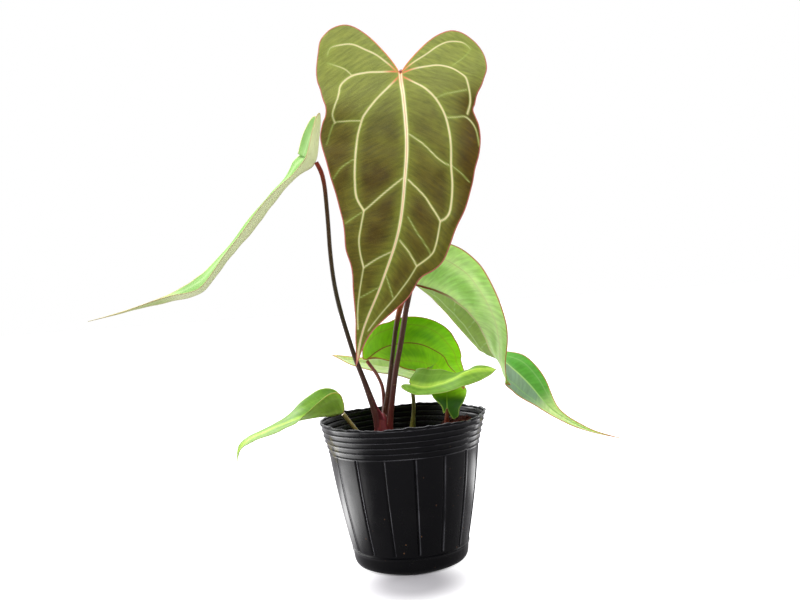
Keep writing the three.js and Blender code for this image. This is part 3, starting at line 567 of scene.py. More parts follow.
FINISHES = {
    "front": (velvet_upper, velvet_under, "velvet_blade"),
    "right": (green_upper, green_under, "green_blade"),
    "left": (slender_upper, slender_under, "green_blade"),
    "middle": (bright_upper, bright_under, "bright_blade"),
    "back": (pale_upper, pale_upper, "pale_blade"),
    "small_right": (banded_upper, small_under, "green_blade"),
    "small_left": (banded_upper, small_under, "green_blade"),
    "seedling": (seedling_upper, bright_under, "bright_blade"),
}


def petiole_finish(name, stops):
    """Fleshy leaf stalk: a smooth waxy skin with long fibres under it, coloured from base to blade."""
    material, tree = new_material(name)
    along = add(tree, "ShaderNodeAttribute", attribute_name="along")
    place = add(tree, "ShaderNodeTexCoord")
    skin = linear(stops[0][1])
    for (low, _), (high, code) in zip(stops, stops[1:]):
        reach = add(tree, "ShaderNodeMapRange", {
            "Value": along.outputs["Fac"], "From Min": low, "From Max": high,
        }, interpolation_type="SMOOTHSTEP")
        skin = add(tree, "ShaderNodeMix", {"Factor": reach, "A": skin, "B": linear(code)}, data_type="RGBA")
    # Fibres 0.6 mm apart run up the stalk. They are drawn a little coarser than they are.
    long_way = add(tree, "ShaderNodeMapping", {
        "Vector": place.outputs["Object"], "Scale": (1400.0, 1400.0, 70.0),
    })
    fibres = add(tree, "ShaderNodeTexNoise", {"Vector": long_way, "Scale": 1.0, "Detail": 2.0})
    tone = add(tree, "ShaderNodeMapRange", {
        "Value": fibres.outputs[0], "From Min": 0.3, "From Max": 0.7, "To Min": 0.72, "To Max": 1.25,
    })
    skin = add(tree, "ShaderNodeMix", {
        "Factor": 1.0, "A": skin, "B": tone,
    }, data_type="RGBA", blend_type="MULTIPLY")
    # Pale corky specks, 0.4 mm across and a few millimetres apart.
    specks = add(tree, "ShaderNodeTexVoronoi", {"Vector": place.outputs["Object"], "Scale": 330.0})
    spot = add(tree, "ShaderNodeMapRange", {
        "Value": specks.outputs["Distance"], "From Min": 0.1, "From Max": 0.16, "To Min": 0.35, "To Max": 0.0,
    })
    skin = add(tree, "ShaderNodeMix", {"Factor": spot, "A": skin, "B": linear("#a08a5c")}, data_type="RGBA")
    edge = add(tree, "ShaderNodeAttribute", attribute_name="edge")
    skin = add(tree, "ShaderNodeMix", {
        "Factor": edge.outputs["Fac"], "A": skin, "B": linear("#b04a5c"),
    }, data_type="RGBA")
    bump = add(tree, "ShaderNodeBump", {"Height": fibres.outputs[0], "Strength": 0.3, "Distance": 0.0003})
    shader = add(tree, "ShaderNodeBsdfPrincipled", {
        "Base Color": skin, "Roughness": 0.38, "IOR": 1.42, "Normal": bump,
        "Subsurface Weight": 0.12, "Subsurface Radius": (1.0, 0.4, 0.25), "Subsurface Scale": 0.001,
    })
    add(tree, "ShaderNodeOutputMaterial", {"Surface": shader})
    return material


PETIOLES = {
    "front": ("maroon_petiole", [(0.0, "#5a1a1c"), (0.12, "#52241a"), (0.4, "#55301e"), (1.0, "#8a4028")]),
    "right": ("olive_petiole", [
        (0.0, "#55201c"), (0.3, "#4c2c1c"), (0.7, "#4f371f"), (0.86, "#a8542c"), (1.0, "#a85a30"),
    ]),
    "left": ("olive_petiole", [
        (0.0, "#5c2226"), (0.16, "#4c2c24"), (0.5, "#332a18"), (0.85, "#47301e"), (1.0, "#8a2c20"),
    ]),
    "middle": ("maroon_petiole", [(0.0, "#5c201c"), (0.5, "#6c2c20"), (1.0, "#84402a")]),
    "back": ("olive_petiole", [(0.0, "#5d4a2a"), (0.4, "#5d6a2c"), (1.0, "#7c8a3c")]),
    "small_right": ("olive_petiole", [(0.0, "#5d562a"), (0.5, "#6d6a2a"), (1.0, "#84823c")]),
    "small_left": ("olive_petiole", [(0.0, "#6a5c30"), (0.6, "#74663a"), (1.0, "#8a7c46")]),
    "seedling": ("maroon_petiole", [(0.0, "#5c2418"), (0.6, "#74301e"), (1.0, "#845030")]),
}


def potting_finish():
    """Damp peat and bark: dull red-brown crumbs, each a shade of its own."""
    material, tree = new_material("potting_mix_damp_peat")
    place = add(tree, "ShaderNodeTexCoord")
    # Crumbs about 1.5 mm across.
    crumbs = add(tree, "ShaderNodeTexVoronoi", {"Vector": place.outputs["Object"], "Scale": 650.0})
    tint = add(tree, "ShaderNodeSeparateColor", {"Color": crumbs.outputs["Color"]})
    shade = add(tree, "ShaderNodeMix", {
        "Factor": tint.outputs[0], "A": linear("#1c0c08"), "B": linear("#5c2014"),
    }, data_type="RGBA")
    patch = add(tree, "ShaderNodeTexNoise", {"Vector": place.outputs["Object"], "Scale": 90.0, "Detail": 3.0})
    damp = add(tree, "ShaderNodeMapRange", {"Value": patch.outputs[0], "From Min": 0.4, "From Max": 0.65})
    shade = add(tree, "ShaderNodeMix", {"Factor": damp, "A": shade, "B": linear("#3a1c14")}, data_type="RGBA")
    bump = add(tree, "ShaderNodeBump", {
        "Height": crumbs.outputs["Distance"], "Strength": 0.8, "Distance": 0.0008,
    })
    shader = add(tree, "ShaderNodeBsdfPrincipled", {
        "Base Color": shade, "Roughness": 0.9, "Specular IOR Level": 0.1, "Normal": bump,
    })
    add(tree, "ShaderNodeOutputMaterial", {"Surface": shader})
    return material


def plastic_finish():
    """Thin black polyethylene, vacuum formed: glossy, faintly rippled, with dust, lime and soil on it."""
    material, tree = new_material("black_plastic_vacuum_formed")
    place = add(tree, "ShaderNodeTexCoord")
    height = add(tree, "ShaderNodeSeparateXYZ", {"Vector": place.outputs["Object"]})
    film = add(tree, "ShaderNodeTexNoise", {"Vector": place.outputs["Object"], "Scale": 45.0, "Detail": 5.0})
    dusty = add(tree, "ShaderNodeMapRange", {
        "Value": film.outputs[0], "From Min": 0.5, "From Max": 0.75, "To Min": 0.0, "To Max": 0.015,
    })
    # Painted highlight: the crests of the rings, the lips of the pleats and the cut rim are painted grey, as
    # if they caught the light.
    highlight_lines = add(tree, "ShaderNodeAttribute", attribute_name="highlight_lines")
    broken = add(tree, "ShaderNodeMapRange", {
        "Value": film.outputs[0], "From Min": 0.35, "From Max": 0.65, "To Min": 0.05, "To Max": 0.45,
    })
    painted_highlight = add(tree, "ShaderNodeMath", {0: highlight_lines.outputs["Fac"], 1: broken}, operation="MULTIPLY")
    # Specks of potting mix, about 0.6 mm across and 8 mm apart, fewer near the rim.
    grit = add(tree, "ShaderNodeTexVoronoi", {"Vector": place.outputs["Object"], "Scale": 125.0})
    speck = add(tree, "ShaderNodeMapRange", {
        "Value": grit.outputs["Distance"], "From Min": 0.045, "From Max": 0.075, "To Min": 0.8, "To Max": 0.0,
    })
    low = add(tree, "ShaderNodeMapRange", {
        "Value": height.outputs["Z"], "From Min": 0.005, "From Max": 0.07, "To Min": 1.0, "To Max": 0.15,
    })
    speck = add(tree, "ShaderNodeMath", {0: speck, 1: low}, operation="MULTIPLY")
    # Lime and algae that dried on the collar: where the rim is bent at the right, and at the left.
    amount = 0.0
    for spot, reach in (((0.0465, -0.014, 0.085), 0.013), ((-0.044, -0.022, 0.078), 0.014)):
        far = add(tree, "ShaderNodeVectorMath", {0: place.outputs["Object"], 1: spot}, operation="DISTANCE")
        near = add(tree, "ShaderNodeMapRange", {
            "Value": far.outputs["Value"], "From Min": 0.003, "From Max": reach, "To Min": 0.6, "To Max": 0.0,
        }, interpolation_type="SMOOTHSTEP")
        amount = add(tree, "ShaderNodeMath", {0: near, 1: amount}, operation="MAXIMUM")
    blotch = add(tree, "ShaderNodeTexNoise", {
        "Vector": place.outputs["Object"], "Scale": 260.0, "Detail": 3.0,
    })
    lime = add(tree, "ShaderNodeMapRange", {"Value": blotch.outputs[0], "From Min": 0.46, "From Max": 0.66})
    lime = add(tree, "ShaderNodeMath", {0: lime, 1: amount}, operation="MULTIPLY")
    black = linear("#030305")
    # Over the black: dust, the painted grey highlight on the crests, soil specks and lime.
    for factor, code in ((dusty, "#5a5650"), (painted_highlight, "#8a8a90"), (speck, "#6a4a30"), (lime, "#7c7448")):
        black = add(tree, "ShaderNodeMix", {
            "Factor": factor, "A": black, "B": linear(code),
        }, data_type="RGBA")
    rough = add(tree, "ShaderNodeMapRange", {
        "Value": film.outputs[0], "From Min": 0.4, "From Max": 0.75, "To Min": 0.2, "To Max": 0.36,
    })
    # The sheet is rippled about 6 mm apart from being drawn over its mould.
    pull = add(tree, "ShaderNodeMapping", {"Vector": place.outputs["Object"], "Scale": (1.0, 1.0, 0.35)})
    ripple = add(tree, "ShaderNodeTexNoise", {"Vector": pull, "Scale": 160.0, "Detail": 2.0})
    bump = add(tree, "ShaderNodeBump", {"Height": ripple.outputs[0], "Strength": 0.25, "Distance": 0.0006})
    shader = add(tree, "ShaderNodeBsdfPrincipled", {
        "Base Color": black, "Roughness": rough, "IOR": 1.5, "Specular IOR Level": 0.13, "Normal": bump,
    })
    add(tree, "ShaderNodeOutputMaterial", {"Surface": shader})
    return material


# Shapes shared by the pieces


def table(rows, at):
    """The columns of a table at the values at of its first column, on a smooth curve through the rows."""
    rows = np.asarray(rows, float)
    x = rows[:, 0]
    i = np.clip(np.searchsorted(x, at, side="right") - 1, 0, len(x) - 2)
    t = np.clip((at - x[i]) / (x[i + 1] - x[i]), 0, 1)[..., None]
    v, w = rows[i, 1:], rows[i + 1, 1:]
    before, after = np.maximum(i - 1, 0), np.minimum(i + 2, len(x) - 1)
    span = (x[i + 1] - x[i])[..., None]
    leave = (w - rows[before, 1:]) / (x[i + 1] - x[before])[..., None] * span
    arrive = (rows[after, 1:] - v) / (x[after] - x[i])[..., None] * span
    return v + (w - v) * ease(t) + leave * t * (1 - t) ** 2 - arrive * t * t * (1 - t)


def ease(t):
    return t * t * (3 - 2 * t)


def step(value, low, high):
    """0 below low, 1 above high, and smooth between."""
    return ease(np.clip((value - low) / (high - low), 0, 1))


def smooth_path(points, count):
    """Count + 1 points on a smooth curve through the points, evenly spaced in the points' own count."""
    p = np.asarray(points, float)
    n = len(p)
    ext = np.vstack([2 * p[0] - p[1], p, 2 * p[-1] - p[-2]])
    u = np.arange(count + 1) / count * (n - 1)
    k = np.minimum(u.astype(int), n - 2)
    w = (u - k)[:, None]
    p0, p1, p2, p3 = ext[k], ext[k + 1], ext[k + 2], ext[k + 3]
    v0, v1 = 0.5 * (p2 - p0), 0.5 * (p3 - p1)
    c2, c3 = -3 * p1 + 3 * p2 - 2 * v0 - v1, 2 * p1 - 2 * p2 + v0 + v1
    return p1 + v0 * w + c2 * w ** 2 + c3 * w ** 3


def unit(v):
    return v / np.linalg.norm(v, axis=-1, keepdims=True)


def even(points, count):
    """Count + 1 points on the smooth curve through the points, at even distances along it."""
    fine = smooth_path(points, 48 * (len(points) - 1))
    far = np.concatenate([[0], np.cumsum(np.linalg.norm(np.diff(fine, axis=0), axis=1))])
    at = np.linspace(0, far[-1], count + 1)
    return np.stack([np.interp(at, far, fine[:, k]) for k in range(fine.shape[1])], 1)


def spine_frame(leaf):
    """The midrib's points, tangents and upper normals, with the distance of each from the petiole."""
    count = PER_SPAN * (len(leaf["spine"]) - 1)
    middle = smooth_path(leaf["spine"], count)
    fine = smooth_path(leaf["spine"], count * 64)
    at = np.arange(count + 1) * 64
    along = unit(fine[np.minimum(at + 1, len(fine) - 1)] - fine[np.maximum(at - 1, 0)])
    up = [None] * (count + 1)
    s = np.zeros(count + 1)
    root = ROOT * PER_SPAN
    face = np.array(leaf["face"], float)
    up[root] = unit(face - along[root] * (face @ along[root]))
    for i in range(root + 1, count + 1):
        up[i] = unit(up[i - 1] - along[i] * (up[i - 1] @ along[i]))
        s[i] = s[i - 1] + np.linalg.norm(middle[i] - middle[i - 1])
    for i in range(root - 1, -1, -1):
        up[i] = unit(up[i + 1] - along[i] * (up[i + 1] @ along[i]))
        s[i] = s[i + 1] - np.linalg.norm(middle[i] - middle[i + 1])
    return middle, along, np.array(up), s


def bend(leaf, spine, at, out):
    """Where the flat points at along the midrib and out to the left come to lie in the bent blade."""
    middle, along, up, s = spine
    i = np.clip(np.searchsorted(s, at, side="right") - 1, 0, len(s) - 2)
    share = ((at - s[i]) / (s[i + 1] - s[i]))[:, None]
    held = np.clip(share, 0, 1)
    point = middle[i] * (1 - share) + middle[i + 1] * share
    tangent = unit(along[i] * (1 - held) + along[i + 1] * held)
    face = unit(up[i] * (1 - held) + up[i + 1] * held)
    left = np.cross(face, tangent)
    twist, fold = table(leaf["turn"], at).T
    side = np.where(out < 0, -1.0, 1.0)
    far = np.abs(out)
    lift = np.radians(fold + side * twist + leaf.get("curl", 0) * far / 60)
    swell = leaf.get("ripple", 0) * (far / 30) ** 2 * np.sin(2 * np.pi * at / leaf.get("wave", 30) + side)
    across = far * np.cos(lift) - swell * np.sin(lift)
    raised = far * np.sin(lift) + swell * np.cos(lift)
    return point + left * (side * across)[:, None] + face * raised[:, None]


def blade_normal(leaf, spine, at, out):
    """The upper normal of the bent blade at the flat points."""
    reach = 0.2
    total = np.zeros((len(at), 3))
    inner = np.abs(out) < reach
    for place in (np.where(inner, -reach, out), np.where(inner, reach, out)):
        ds = bend(leaf, spine, at + reach, place) - bend(leaf, spine, at - reach, place)
        dt = bend(leaf, spine, at, place + reach) - bend(leaf, spine, at, place - reach)
        total += unit(np.cross(ds, dt))
    return unit(total)


def distance_to(line, points):
    """How far flat points lie from a line of points."""
    line = np.asarray(line, float)
    best = np.full(len(points), 1e9)
    for a, b in zip(line, line[1:]):
        way = b - a
        share = np.clip(((points - a) @ way) / max(way @ way, 1e-9), 0, 1)
        best = np.minimum(best, np.linalg.norm(points - a - share[:, None] * way, axis=1))
    return best


def ruled_veins(rims, feet, first, every):
    """Side veins of a plain blade, along its ribs, out to a collecting vein near the margin."""
    lines = []
    foot = np.stack([feet, np.zeros(len(feet))], 1)
    collect = foot + (rims - foot) * 0.66
    last = int(len(rims) * 0.93)
    for i in range(first, last, every):
        v = np.linspace(0, 0.66, 8)[:, None]
        line = foot[i] + (rims[i] - foot[i]) * v
        line[:, 0] += 2.5 * (v[:, 0] / 0.66) ** 2 * (feet[i] > 0)
        lines.append((0.15, line))
    lines.append((1.0, even(collect[4:last:6], 60)))
    return lines


def mesh_piece(name, points, faces):
    """A new object with its own mesh from points in millimetres."""
    mesh = bpy.data.meshes.new(name)
    mesh.from_pydata((np.asarray(points) * MM).tolist(), [], [list(map(int, f)) for f in faces])
    mesh.shade_smooth()
    piece = bpy.data.objects.new(name, mesh)
    bpy.context.scene.collection.objects.link(piece)
    return piece


def close_seams(piece, distance=2e-6):
    """Joins equal points and drops faces that they leave empty."""
    work = bmesh.new()
    work.from_mesh(piece.data)
    bmesh.ops.remove_doubles(work, verts=work.verts, dist=distance)
    bmesh.ops.dissolve_degenerate(work, edges=work.edges, dist=distance / 4)
    work.to_mesh(piece.data)
    work.free()


def give(piece, name, values, kind="FLOAT"):
    """Stores a value for each point of the piece's mesh."""
    store = piece.data.attributes.new(name, kind, "POINT")
    field = "vector" if kind == "FLOAT_VECTOR" else "value"
    store.data.foreach_set(field, np.ravel(values).astype(np.float32))


def dress(piece, slot_name, *nodes):
    """Puts a finished piece in the frame, in place of the nodes that it stands for."""
    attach(piece, "root")
    if nodes:
        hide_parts(*nodes)


# Blades


def tone_and_painted_light_mask(name, at, out, side):
    """Where a blade is of its other tone.

    The front one is browner outside its waist and lower down, most at the left, in its own tone. The right
    one
    has one half painted: shade on its underside and a grey-green sheen on its upper side, changing halves
    where it twists. The seedling has painted shade at its foot, where it hangs in front of the dark pot and
    no light comes through it from behind.
    """
    if name == "front":
        waist = step(out, 24, 40) * step(at, 6, 26) * (1.0 if side > 0 else 0.55)
        lower = 0.55 * step(at, 30, 95) * (1 - step(np.abs(out - 16), 4, 14))
        return np.clip(waist + lower, 0, 1)
    if name == "right":
        turned = step(at, 92, 98)
        return 1 - turned if side > 0 else turned
    if name == "seedling":
        return 0.95 - 0.95 * step(at, 4, 11)
    return np.zeros(len(at))


def build_blade(name, leaf):
    """A blade with its upper side, underside and margin, and its veins in relief."""
    upper, under, slot_name = FINISHES[name]
    ribs, across = leaf["grid"]
    spine = spine_frame(leaf)
    length = spine[3][-1]
    rims = []
    for half in ("left", "right"):
        rim = even(leaf[half], ribs)
        scale = length / leaf[half][-1][0]
        rim[:, 0] = np.where(rim[:, 0] > 0, rim[:, 0] * scale, rim[:, 0])
        rim[:, 1] = np.maximum(rim[:, 1], 0)
        rim[0] = (0, 0)
        rim[-1] = (length, 0)
        rims.append(rim)
    mean = sum(rim[:, 0] - FORWARD * rim[:, 1] for rim in rims) / 2
    feet = np.maximum.accumulate(np.maximum(mean, 0))
    feet[-1] = length
    v = np.linspace(0, 1, across + 1)
    tops, unders, marks, far, tone_and_painted_light_masks, uvs, faces = [], [], [], [], [], [], []
    start = 0
    for rim, side, half in ((rims[0], 1, "left"), (rims[1], -1, "right")):
        at = (feet[:, None] + (rim[:, :1] - feet[:, None]) * v).ravel()
        out = (rim[:, 1:] * v).ravel()
        flat = np.stack([at, out], 1)
        if name == "front":
            lines = [(width, even(line, 6 * len(line))) for width, line in FRONT_VEINS[half]]
        else:
            lines = ruled_veins(rim, feet, 8, max(8, ribs // 13))
        nearest = distance_to([(0, 0), (length, 0)], flat)
        drawn = np.zeros(len(at))
        glow = np.exp(-nearest / 3.2)
        for width, line in lines:
            gap = distance_to(line, flat)
            weight = min(1, 0.5 + 0.35 * width)
            faded = weight * (1 - 0.35 * step(out, 36, 48) * (name == "front"))
            drawn = np.maximum(drawn, faded * np.exp(-(gap / (0.45 + 0.32 * width)) ** 2))
            glow = np.maximum(glow, min(1, width) * np.exp(-gap / 2.2))
            nearest = np.minimum(nearest, gap + (1 - weight) * 4)
        # The second tone, which is painted shade and sheen on the right blade and the seedling.
        tone_and_painted_light_masks.append(tone_and_painted_light_mask(name, at, out, side))
        edge = distance_to(rim, flat)
        signed = side * out
        normal = blade_normal(leaf, spine, at, signed)
        place = bend(leaf, spine, at, signed)
        body = 1 - np.exp(-nearest / 4)
        soft = step(edge, 0, 5)
        bulge = (0.45 if name == "front" else 0.22) * body * soft
        lie = 0.22 * np.sin(0.33 * at + 0.21 * signed) * np.sin(0.27 * signed - 0.11 * at) * soft
        thick = MARGIN / 2 + (BLADE - MARGIN) / 2 * step(edge, 0, 4)
        keel = 0.7 * np.clip(at / 8, 0, 1) * (1 - np.clip(at, 0, length) / length) * np.exp(-(out / 1.1) ** 2)
        tops.append(place + normal * (thick + bulge + lie - 0.15 * soft)[:, None])
        lowered = thick - bulge - lie + 0.15 * soft + 0.16 * drawn * soft + keel
        unders.append(place - normal * lowered[:, None])
        marks.append(np.stack([drawn, glow, edge / 10], 1))
        far.append(at / length)
        uvs.append(np.stack([at, signed], 1) / 100)
        i, j = np.meshgrid(np.arange(ribs), np.arange(across), indexing="ij")
        a = (start + i * (across + 1) + j).ravel()
        quads = np.stack([a, a + across + 1, a + across + 2, a + 1], 1)
        edge_a = start + np.arange(ribs) * (across + 1) + across
        faces.append((quads if side > 0 else quads[:, ::-1], edge_a, across + 1, side))
        start += len(at)
    total = start
    all_faces = [f[0] for f in faces]
    all_faces += [f[0][:, ::-1] + total for f in faces]
    strips = []
    for _, a, row, side in faces:
        strip = np.stack([a, a + row, a + row + total, a + total], 1)
        strips.append(strip if side > 0 else strip[:, ::-1])
    quads = np.vstack(all_faces + strips)
    points = np.vstack(tops + unders)
    piece = mesh_piece(f"{name}_blade", points, quads)
    give(piece, "veins", np.vstack(marks + marks), "FLOAT_VECTOR")
    give(piece, "along", np.concatenate(far + far))
    give(piece, "tone", np.concatenate(tone_and_painted_light_masks + tone_and_painted_light_masks))
    flat_map = piece.data.uv_layers.new(name="flat")
    corner = np.zeros(len(piece.data.loops), int)
    piece.data.loops.foreach_get("vertex_index", corner)
    flat_map.data.foreach_set("uv", np.vstack(uvs + uvs)[corner].ravel())
    piece.data.materials.append(upper)
    piece.data.materials.append(under)
    count = sum(len(f[0]) for f in faces)
    which = np.zeros(len(quads), int)
    which[count:2 * count] = 1
    piece.data.polygons.foreach_set("material_index", which)
    close_seams(piece)
    dress(piece, slot_name, f"blade_{name}")


# Geometry node trees


def new_tree(name, sockets):
    """A geometry node tree with named inputs, and its input and output nodes."""
    tree = bpy.data.node_groups.new(name, "GeometryNodeTree")
    tree.interface.new_socket("Geometry", in_out="OUTPUT", socket_type="NodeSocketGeometry")
    tree.interface.new_socket("Geometry", in_out="INPUT", socket_type="NodeSocketGeometry")
    for label, kind in sockets:
        tree.interface.new_socket(label, in_out="INPUT", socket_type=f"NodeSocket{kind}")
    return tree, add(tree, "NodeGroupInput")


def finish_tree(tree, given, shape):
    """Ends a tree: what it placed becomes one mesh with its material."""
    real = add(tree, "GeometryNodeRealizeInstances", {"Geometry": shape})
    done = add(tree, "GeometryNodeSetMaterial", {"Geometry": real, "Material": given.outputs["Material"]})
    add(tree, "NodeGroupOutput", {"Geometry": done})


def run_tree(piece, tree, **values):
    """Gives the piece the mesh that a tree makes of it. Spaces in an input's name are written _."""
    modifier = piece.modifiers.new(tree.name, "NODES")
    modifier.node_group = tree
    for item in tree.interface.items_tree:
        key = item.name.lower().replace(" ", "_")
        if item.in_out == "INPUT" and key in values:
            modifier[item.identifier] = values[key]
    bpy.context.view_layer.update()
    ready = piece.evaluated_get(bpy.context.evaluated_depsgraph_get())
    mesh = bpy.data.meshes.new_from_object(ready)
    piece.modifiers.clear()
    piece.data = mesh


def stem_tree():
    """A round stem along a line of points, each with its own radius."""
    tree, given = new_tree("round_stem", [("Sides", "Int"), ("Material", "Material")])
    line = add(tree, "GeometryNodeMeshToCurve", {"Mesh": given.outputs["Geometry"]})
    radius = add(tree, "GeometryNodeInputNamedAttribute", {"Name": "stem_radius"}, data_type="FLOAT")
    ring = add(tree, "GeometryNodeCurvePrimitiveCircle", {
        "Resolution": given.outputs["Sides"], "Radius": 1.0,
    }, mode="RADIUS")
    tube = add(tree, "GeometryNodeCurveToMesh", {
        "Curve": line, "Profile Curve": ring, "Scale": radius, "Fill Caps": True,
    })
    soft = add(tree, "GeometryNodeSetShadeSmooth", {"Geometry": tube, "Shade Smooth": True})
    finish_tree(tree, given, soft)
    return tree


def pleated_wall_tree():
    """The pot's thin wall: rings round its collar and upright pleats below it, moved along the radius."""
    tree, given = new_tree("pleated_wall", [
        *[(label, "Float") for label in (
            "Pleats", "Pleat Turn", "Pleat Depth", "Pleat Width", "Band Top", "Collar Bottom", "Ring Pitch",
            "Ring Relief", "Rings",
        )],
        ("Material", "Material"),
    ])
    place = add(tree, "GeometryNodeInputPosition")
    xyz = add(tree, "ShaderNodeSeparateXYZ", {"Vector": place})
    angle = add(tree, "ShaderNodeMath", {0: xyz.outputs["Y"], 1: xyz.outputs["X"]}, operation="ARCTAN2")
    angle = add(tree, "ShaderNodeMath", {0: angle, 1: given.outputs["Pleat Turn"]}, operation="SUBTRACT")
    level = add(tree, "ShaderNodeCombineXYZ", {"X": xyz.outputs["X"], "Y": xyz.outputs["Y"]})
    radius = add(tree, "ShaderNodeVectorMath", {0: level}, operation="LENGTH").outputs["Value"]
    turns = add(tree, "ShaderNodeMath", {0: angle, 1: math.tau}, operation="DIVIDE")
    count = add(tree, "ShaderNodeMath", {0: turns, 1: given.outputs["Pleats"]}, operation="MULTIPLY")
    whole = add(tree, "ShaderNodeMath", {0: count}, operation="ROUND")
    off = add(tree, "ShaderNodeMath", {0: count, 1: whole}, operation="SUBTRACT")
    arc = add(tree, "ShaderNodeMath", {0: radius, 1: math.tau}, operation="MULTIPLY")
    arc = add(tree, "ShaderNodeMath", {0: arc, 1: given.outputs["Pleats"]}, operation="DIVIDE")
    off = add(tree, "ShaderNodeMath", {0: off, 1: arc}, operation="MULTIPLY")
    off = add(tree, "ShaderNodeMath", {0: off, 1: given.outputs["Pleat Width"]}, operation="DIVIDE")
    shape = None
    for centre, share in ((0.0, -1.0), (LIP_PLACE, LIP_HEIGHT)):
        from_it = add(tree, "ShaderNodeMath", {0: off, 1: centre}, operation="SUBTRACT")
        square = add(tree, "ShaderNodeMath", {0: from_it, 1: from_it}, operation="MULTIPLY")
        minus = add(tree, "ShaderNodeMath", {0: square, 1: -1.0}, operation="MULTIPLY")
        bell = add(tree, "ShaderNodeMath", {0: minus}, operation="EXPONENT")
        part = add(tree, "ShaderNodeMath", {0: bell, 1: share}, operation="MULTIPLY")
        shape = part if shape is None else add(tree, "ShaderNodeMath", {0: shape, 1: part}, operation="ADD")
    pleat = add(tree, "ShaderNodeMath", {0: shape, 1: given.outputs["Pleat Depth"]}, operation="MULTIPLY")
    start = add(tree, "ShaderNodeMath", {0: given.outputs["Band Top"], 1: 0.0015}, operation="ADD")
    end = add(tree, "ShaderNodeMath", {0: given.outputs["Collar Bottom"], 1: 0.0012}, operation="SUBTRACT")
    rise = add(tree, "ShaderNodeMapRange", {
        "Value": xyz.outputs["Z"], "From Min": given.outputs["Band Top"], "From Max": start,
    }, interpolation_type="SMOOTHSTEP")
    fall = add(tree, "ShaderNodeMapRange", {
        "Value": xyz.outputs["Z"], "From Min": end, "From Max": given.outputs["Collar Bottom"],
        "To Min": 1.0, "To Max": 0.0,
    }, interpolation_type="SMOOTHSTEP")
    for fade in (rise, fall):
        pleat, part = [
            add(tree, "ShaderNodeMath", {0: value, 1: fade}, operation="MULTIPLY") for value in (pleat, part)
        ]
    lip = add(tree, "ShaderNodeMapRange", {"Value": part, "From Min": 0.25, "From Max": LIP_HEIGHT})
    above = add(tree, "ShaderNodeMath", {
        0: xyz.outputs["Z"], 1: given.outputs["Collar Bottom"],
    }, operation="SUBTRACT")
    above = add(tree, "ShaderNodeMath", {0: above, 1: given.outputs["Ring Pitch"]}, operation="DIVIDE")
    phase = add(tree, "ShaderNodeMath", {0: above, 1: math.pi}, operation="MULTIPLY")
    wave = add(tree, "ShaderNodeMath", {0: phase}, operation="SINE")
    wave = add(tree, "ShaderNodeMath", {0: wave}, operation="ABSOLUTE")
    ridge = add(tree, "ShaderNodeMath", {0: 1.0, 1: wave}, operation="SUBTRACT")
    ridge = add(tree, "ShaderNodeMath", {0: ridge, 1: RING_SHARPNESS}, operation="POWER")
    crown = add(tree, "ShaderNodeMapRange", {"Value": ridge, "From Min": 0.5, "From Max": 0.95})
    ridge = add(tree, "ShaderNodeMath", {0: ridge, 1: given.outputs["Ring Relief"]}, operation="MULTIPLY")
    low = add(tree, "ShaderNodeMapRange", {"Value": above, "From Min": -0.35, "From Max": -0.15})
    high = add(tree, "ShaderNodeMath", {0: given.outputs["Rings"], 1: 0.3}, operation="ADD")
    top = add(tree, "ShaderNodeMapRange", {
        "Value": above, "From Min": given.outputs["Rings"], "From Max": high, "To Min": 1.0, "To Max": 0.0,
    })
    for fade in (low, top):
        ridge, crown = [
            add(tree, "ShaderNodeMath", {0: value, 1: fade}, operation="MULTIPLY") for value in (ridge, crown)
        ]
    rim, wall = [
        add(tree, "GeometryNodeInputNamedAttribute", {"Name": key}, data_type="FLOAT")
        for key in ("rim", "wall")
    ]
    # The crests of the rings, the lips of the pleats and the rim are marked for a painted grey highlight.
    highlight_lines = crown
    for other in (lip, rim):
        highlight_lines = add(tree, "ShaderNodeMath", {0: highlight_lines, 1: other}, operation="MAXIMUM")
    both = add(tree, "ShaderNodeMath", {0: pleat, 1: ridge}, operation="ADD")
    both = add(tree, "ShaderNodeMath", {0: both, 1: wall}, operation="MULTIPLY")
    outward = add(tree, "ShaderNodeVectorMath", {0: level}, operation="NORMALIZE")
    move = add(tree, "ShaderNodeVectorMath", {0: outward, "Scale": both}, operation="SCALE")
    marked = add(tree, "GeometryNodeStoreNamedAttribute", {
        "Geometry": given.outputs["Geometry"], "Name": "highlight_lines", "Value": highlight_lines,
    }, data_type="FLOAT", domain="POINT")
    moved = add(tree, "GeometryNodeSetPosition", {"Geometry": marked, "Offset": move})
    finish_tree(tree, given, moved)
    return tree


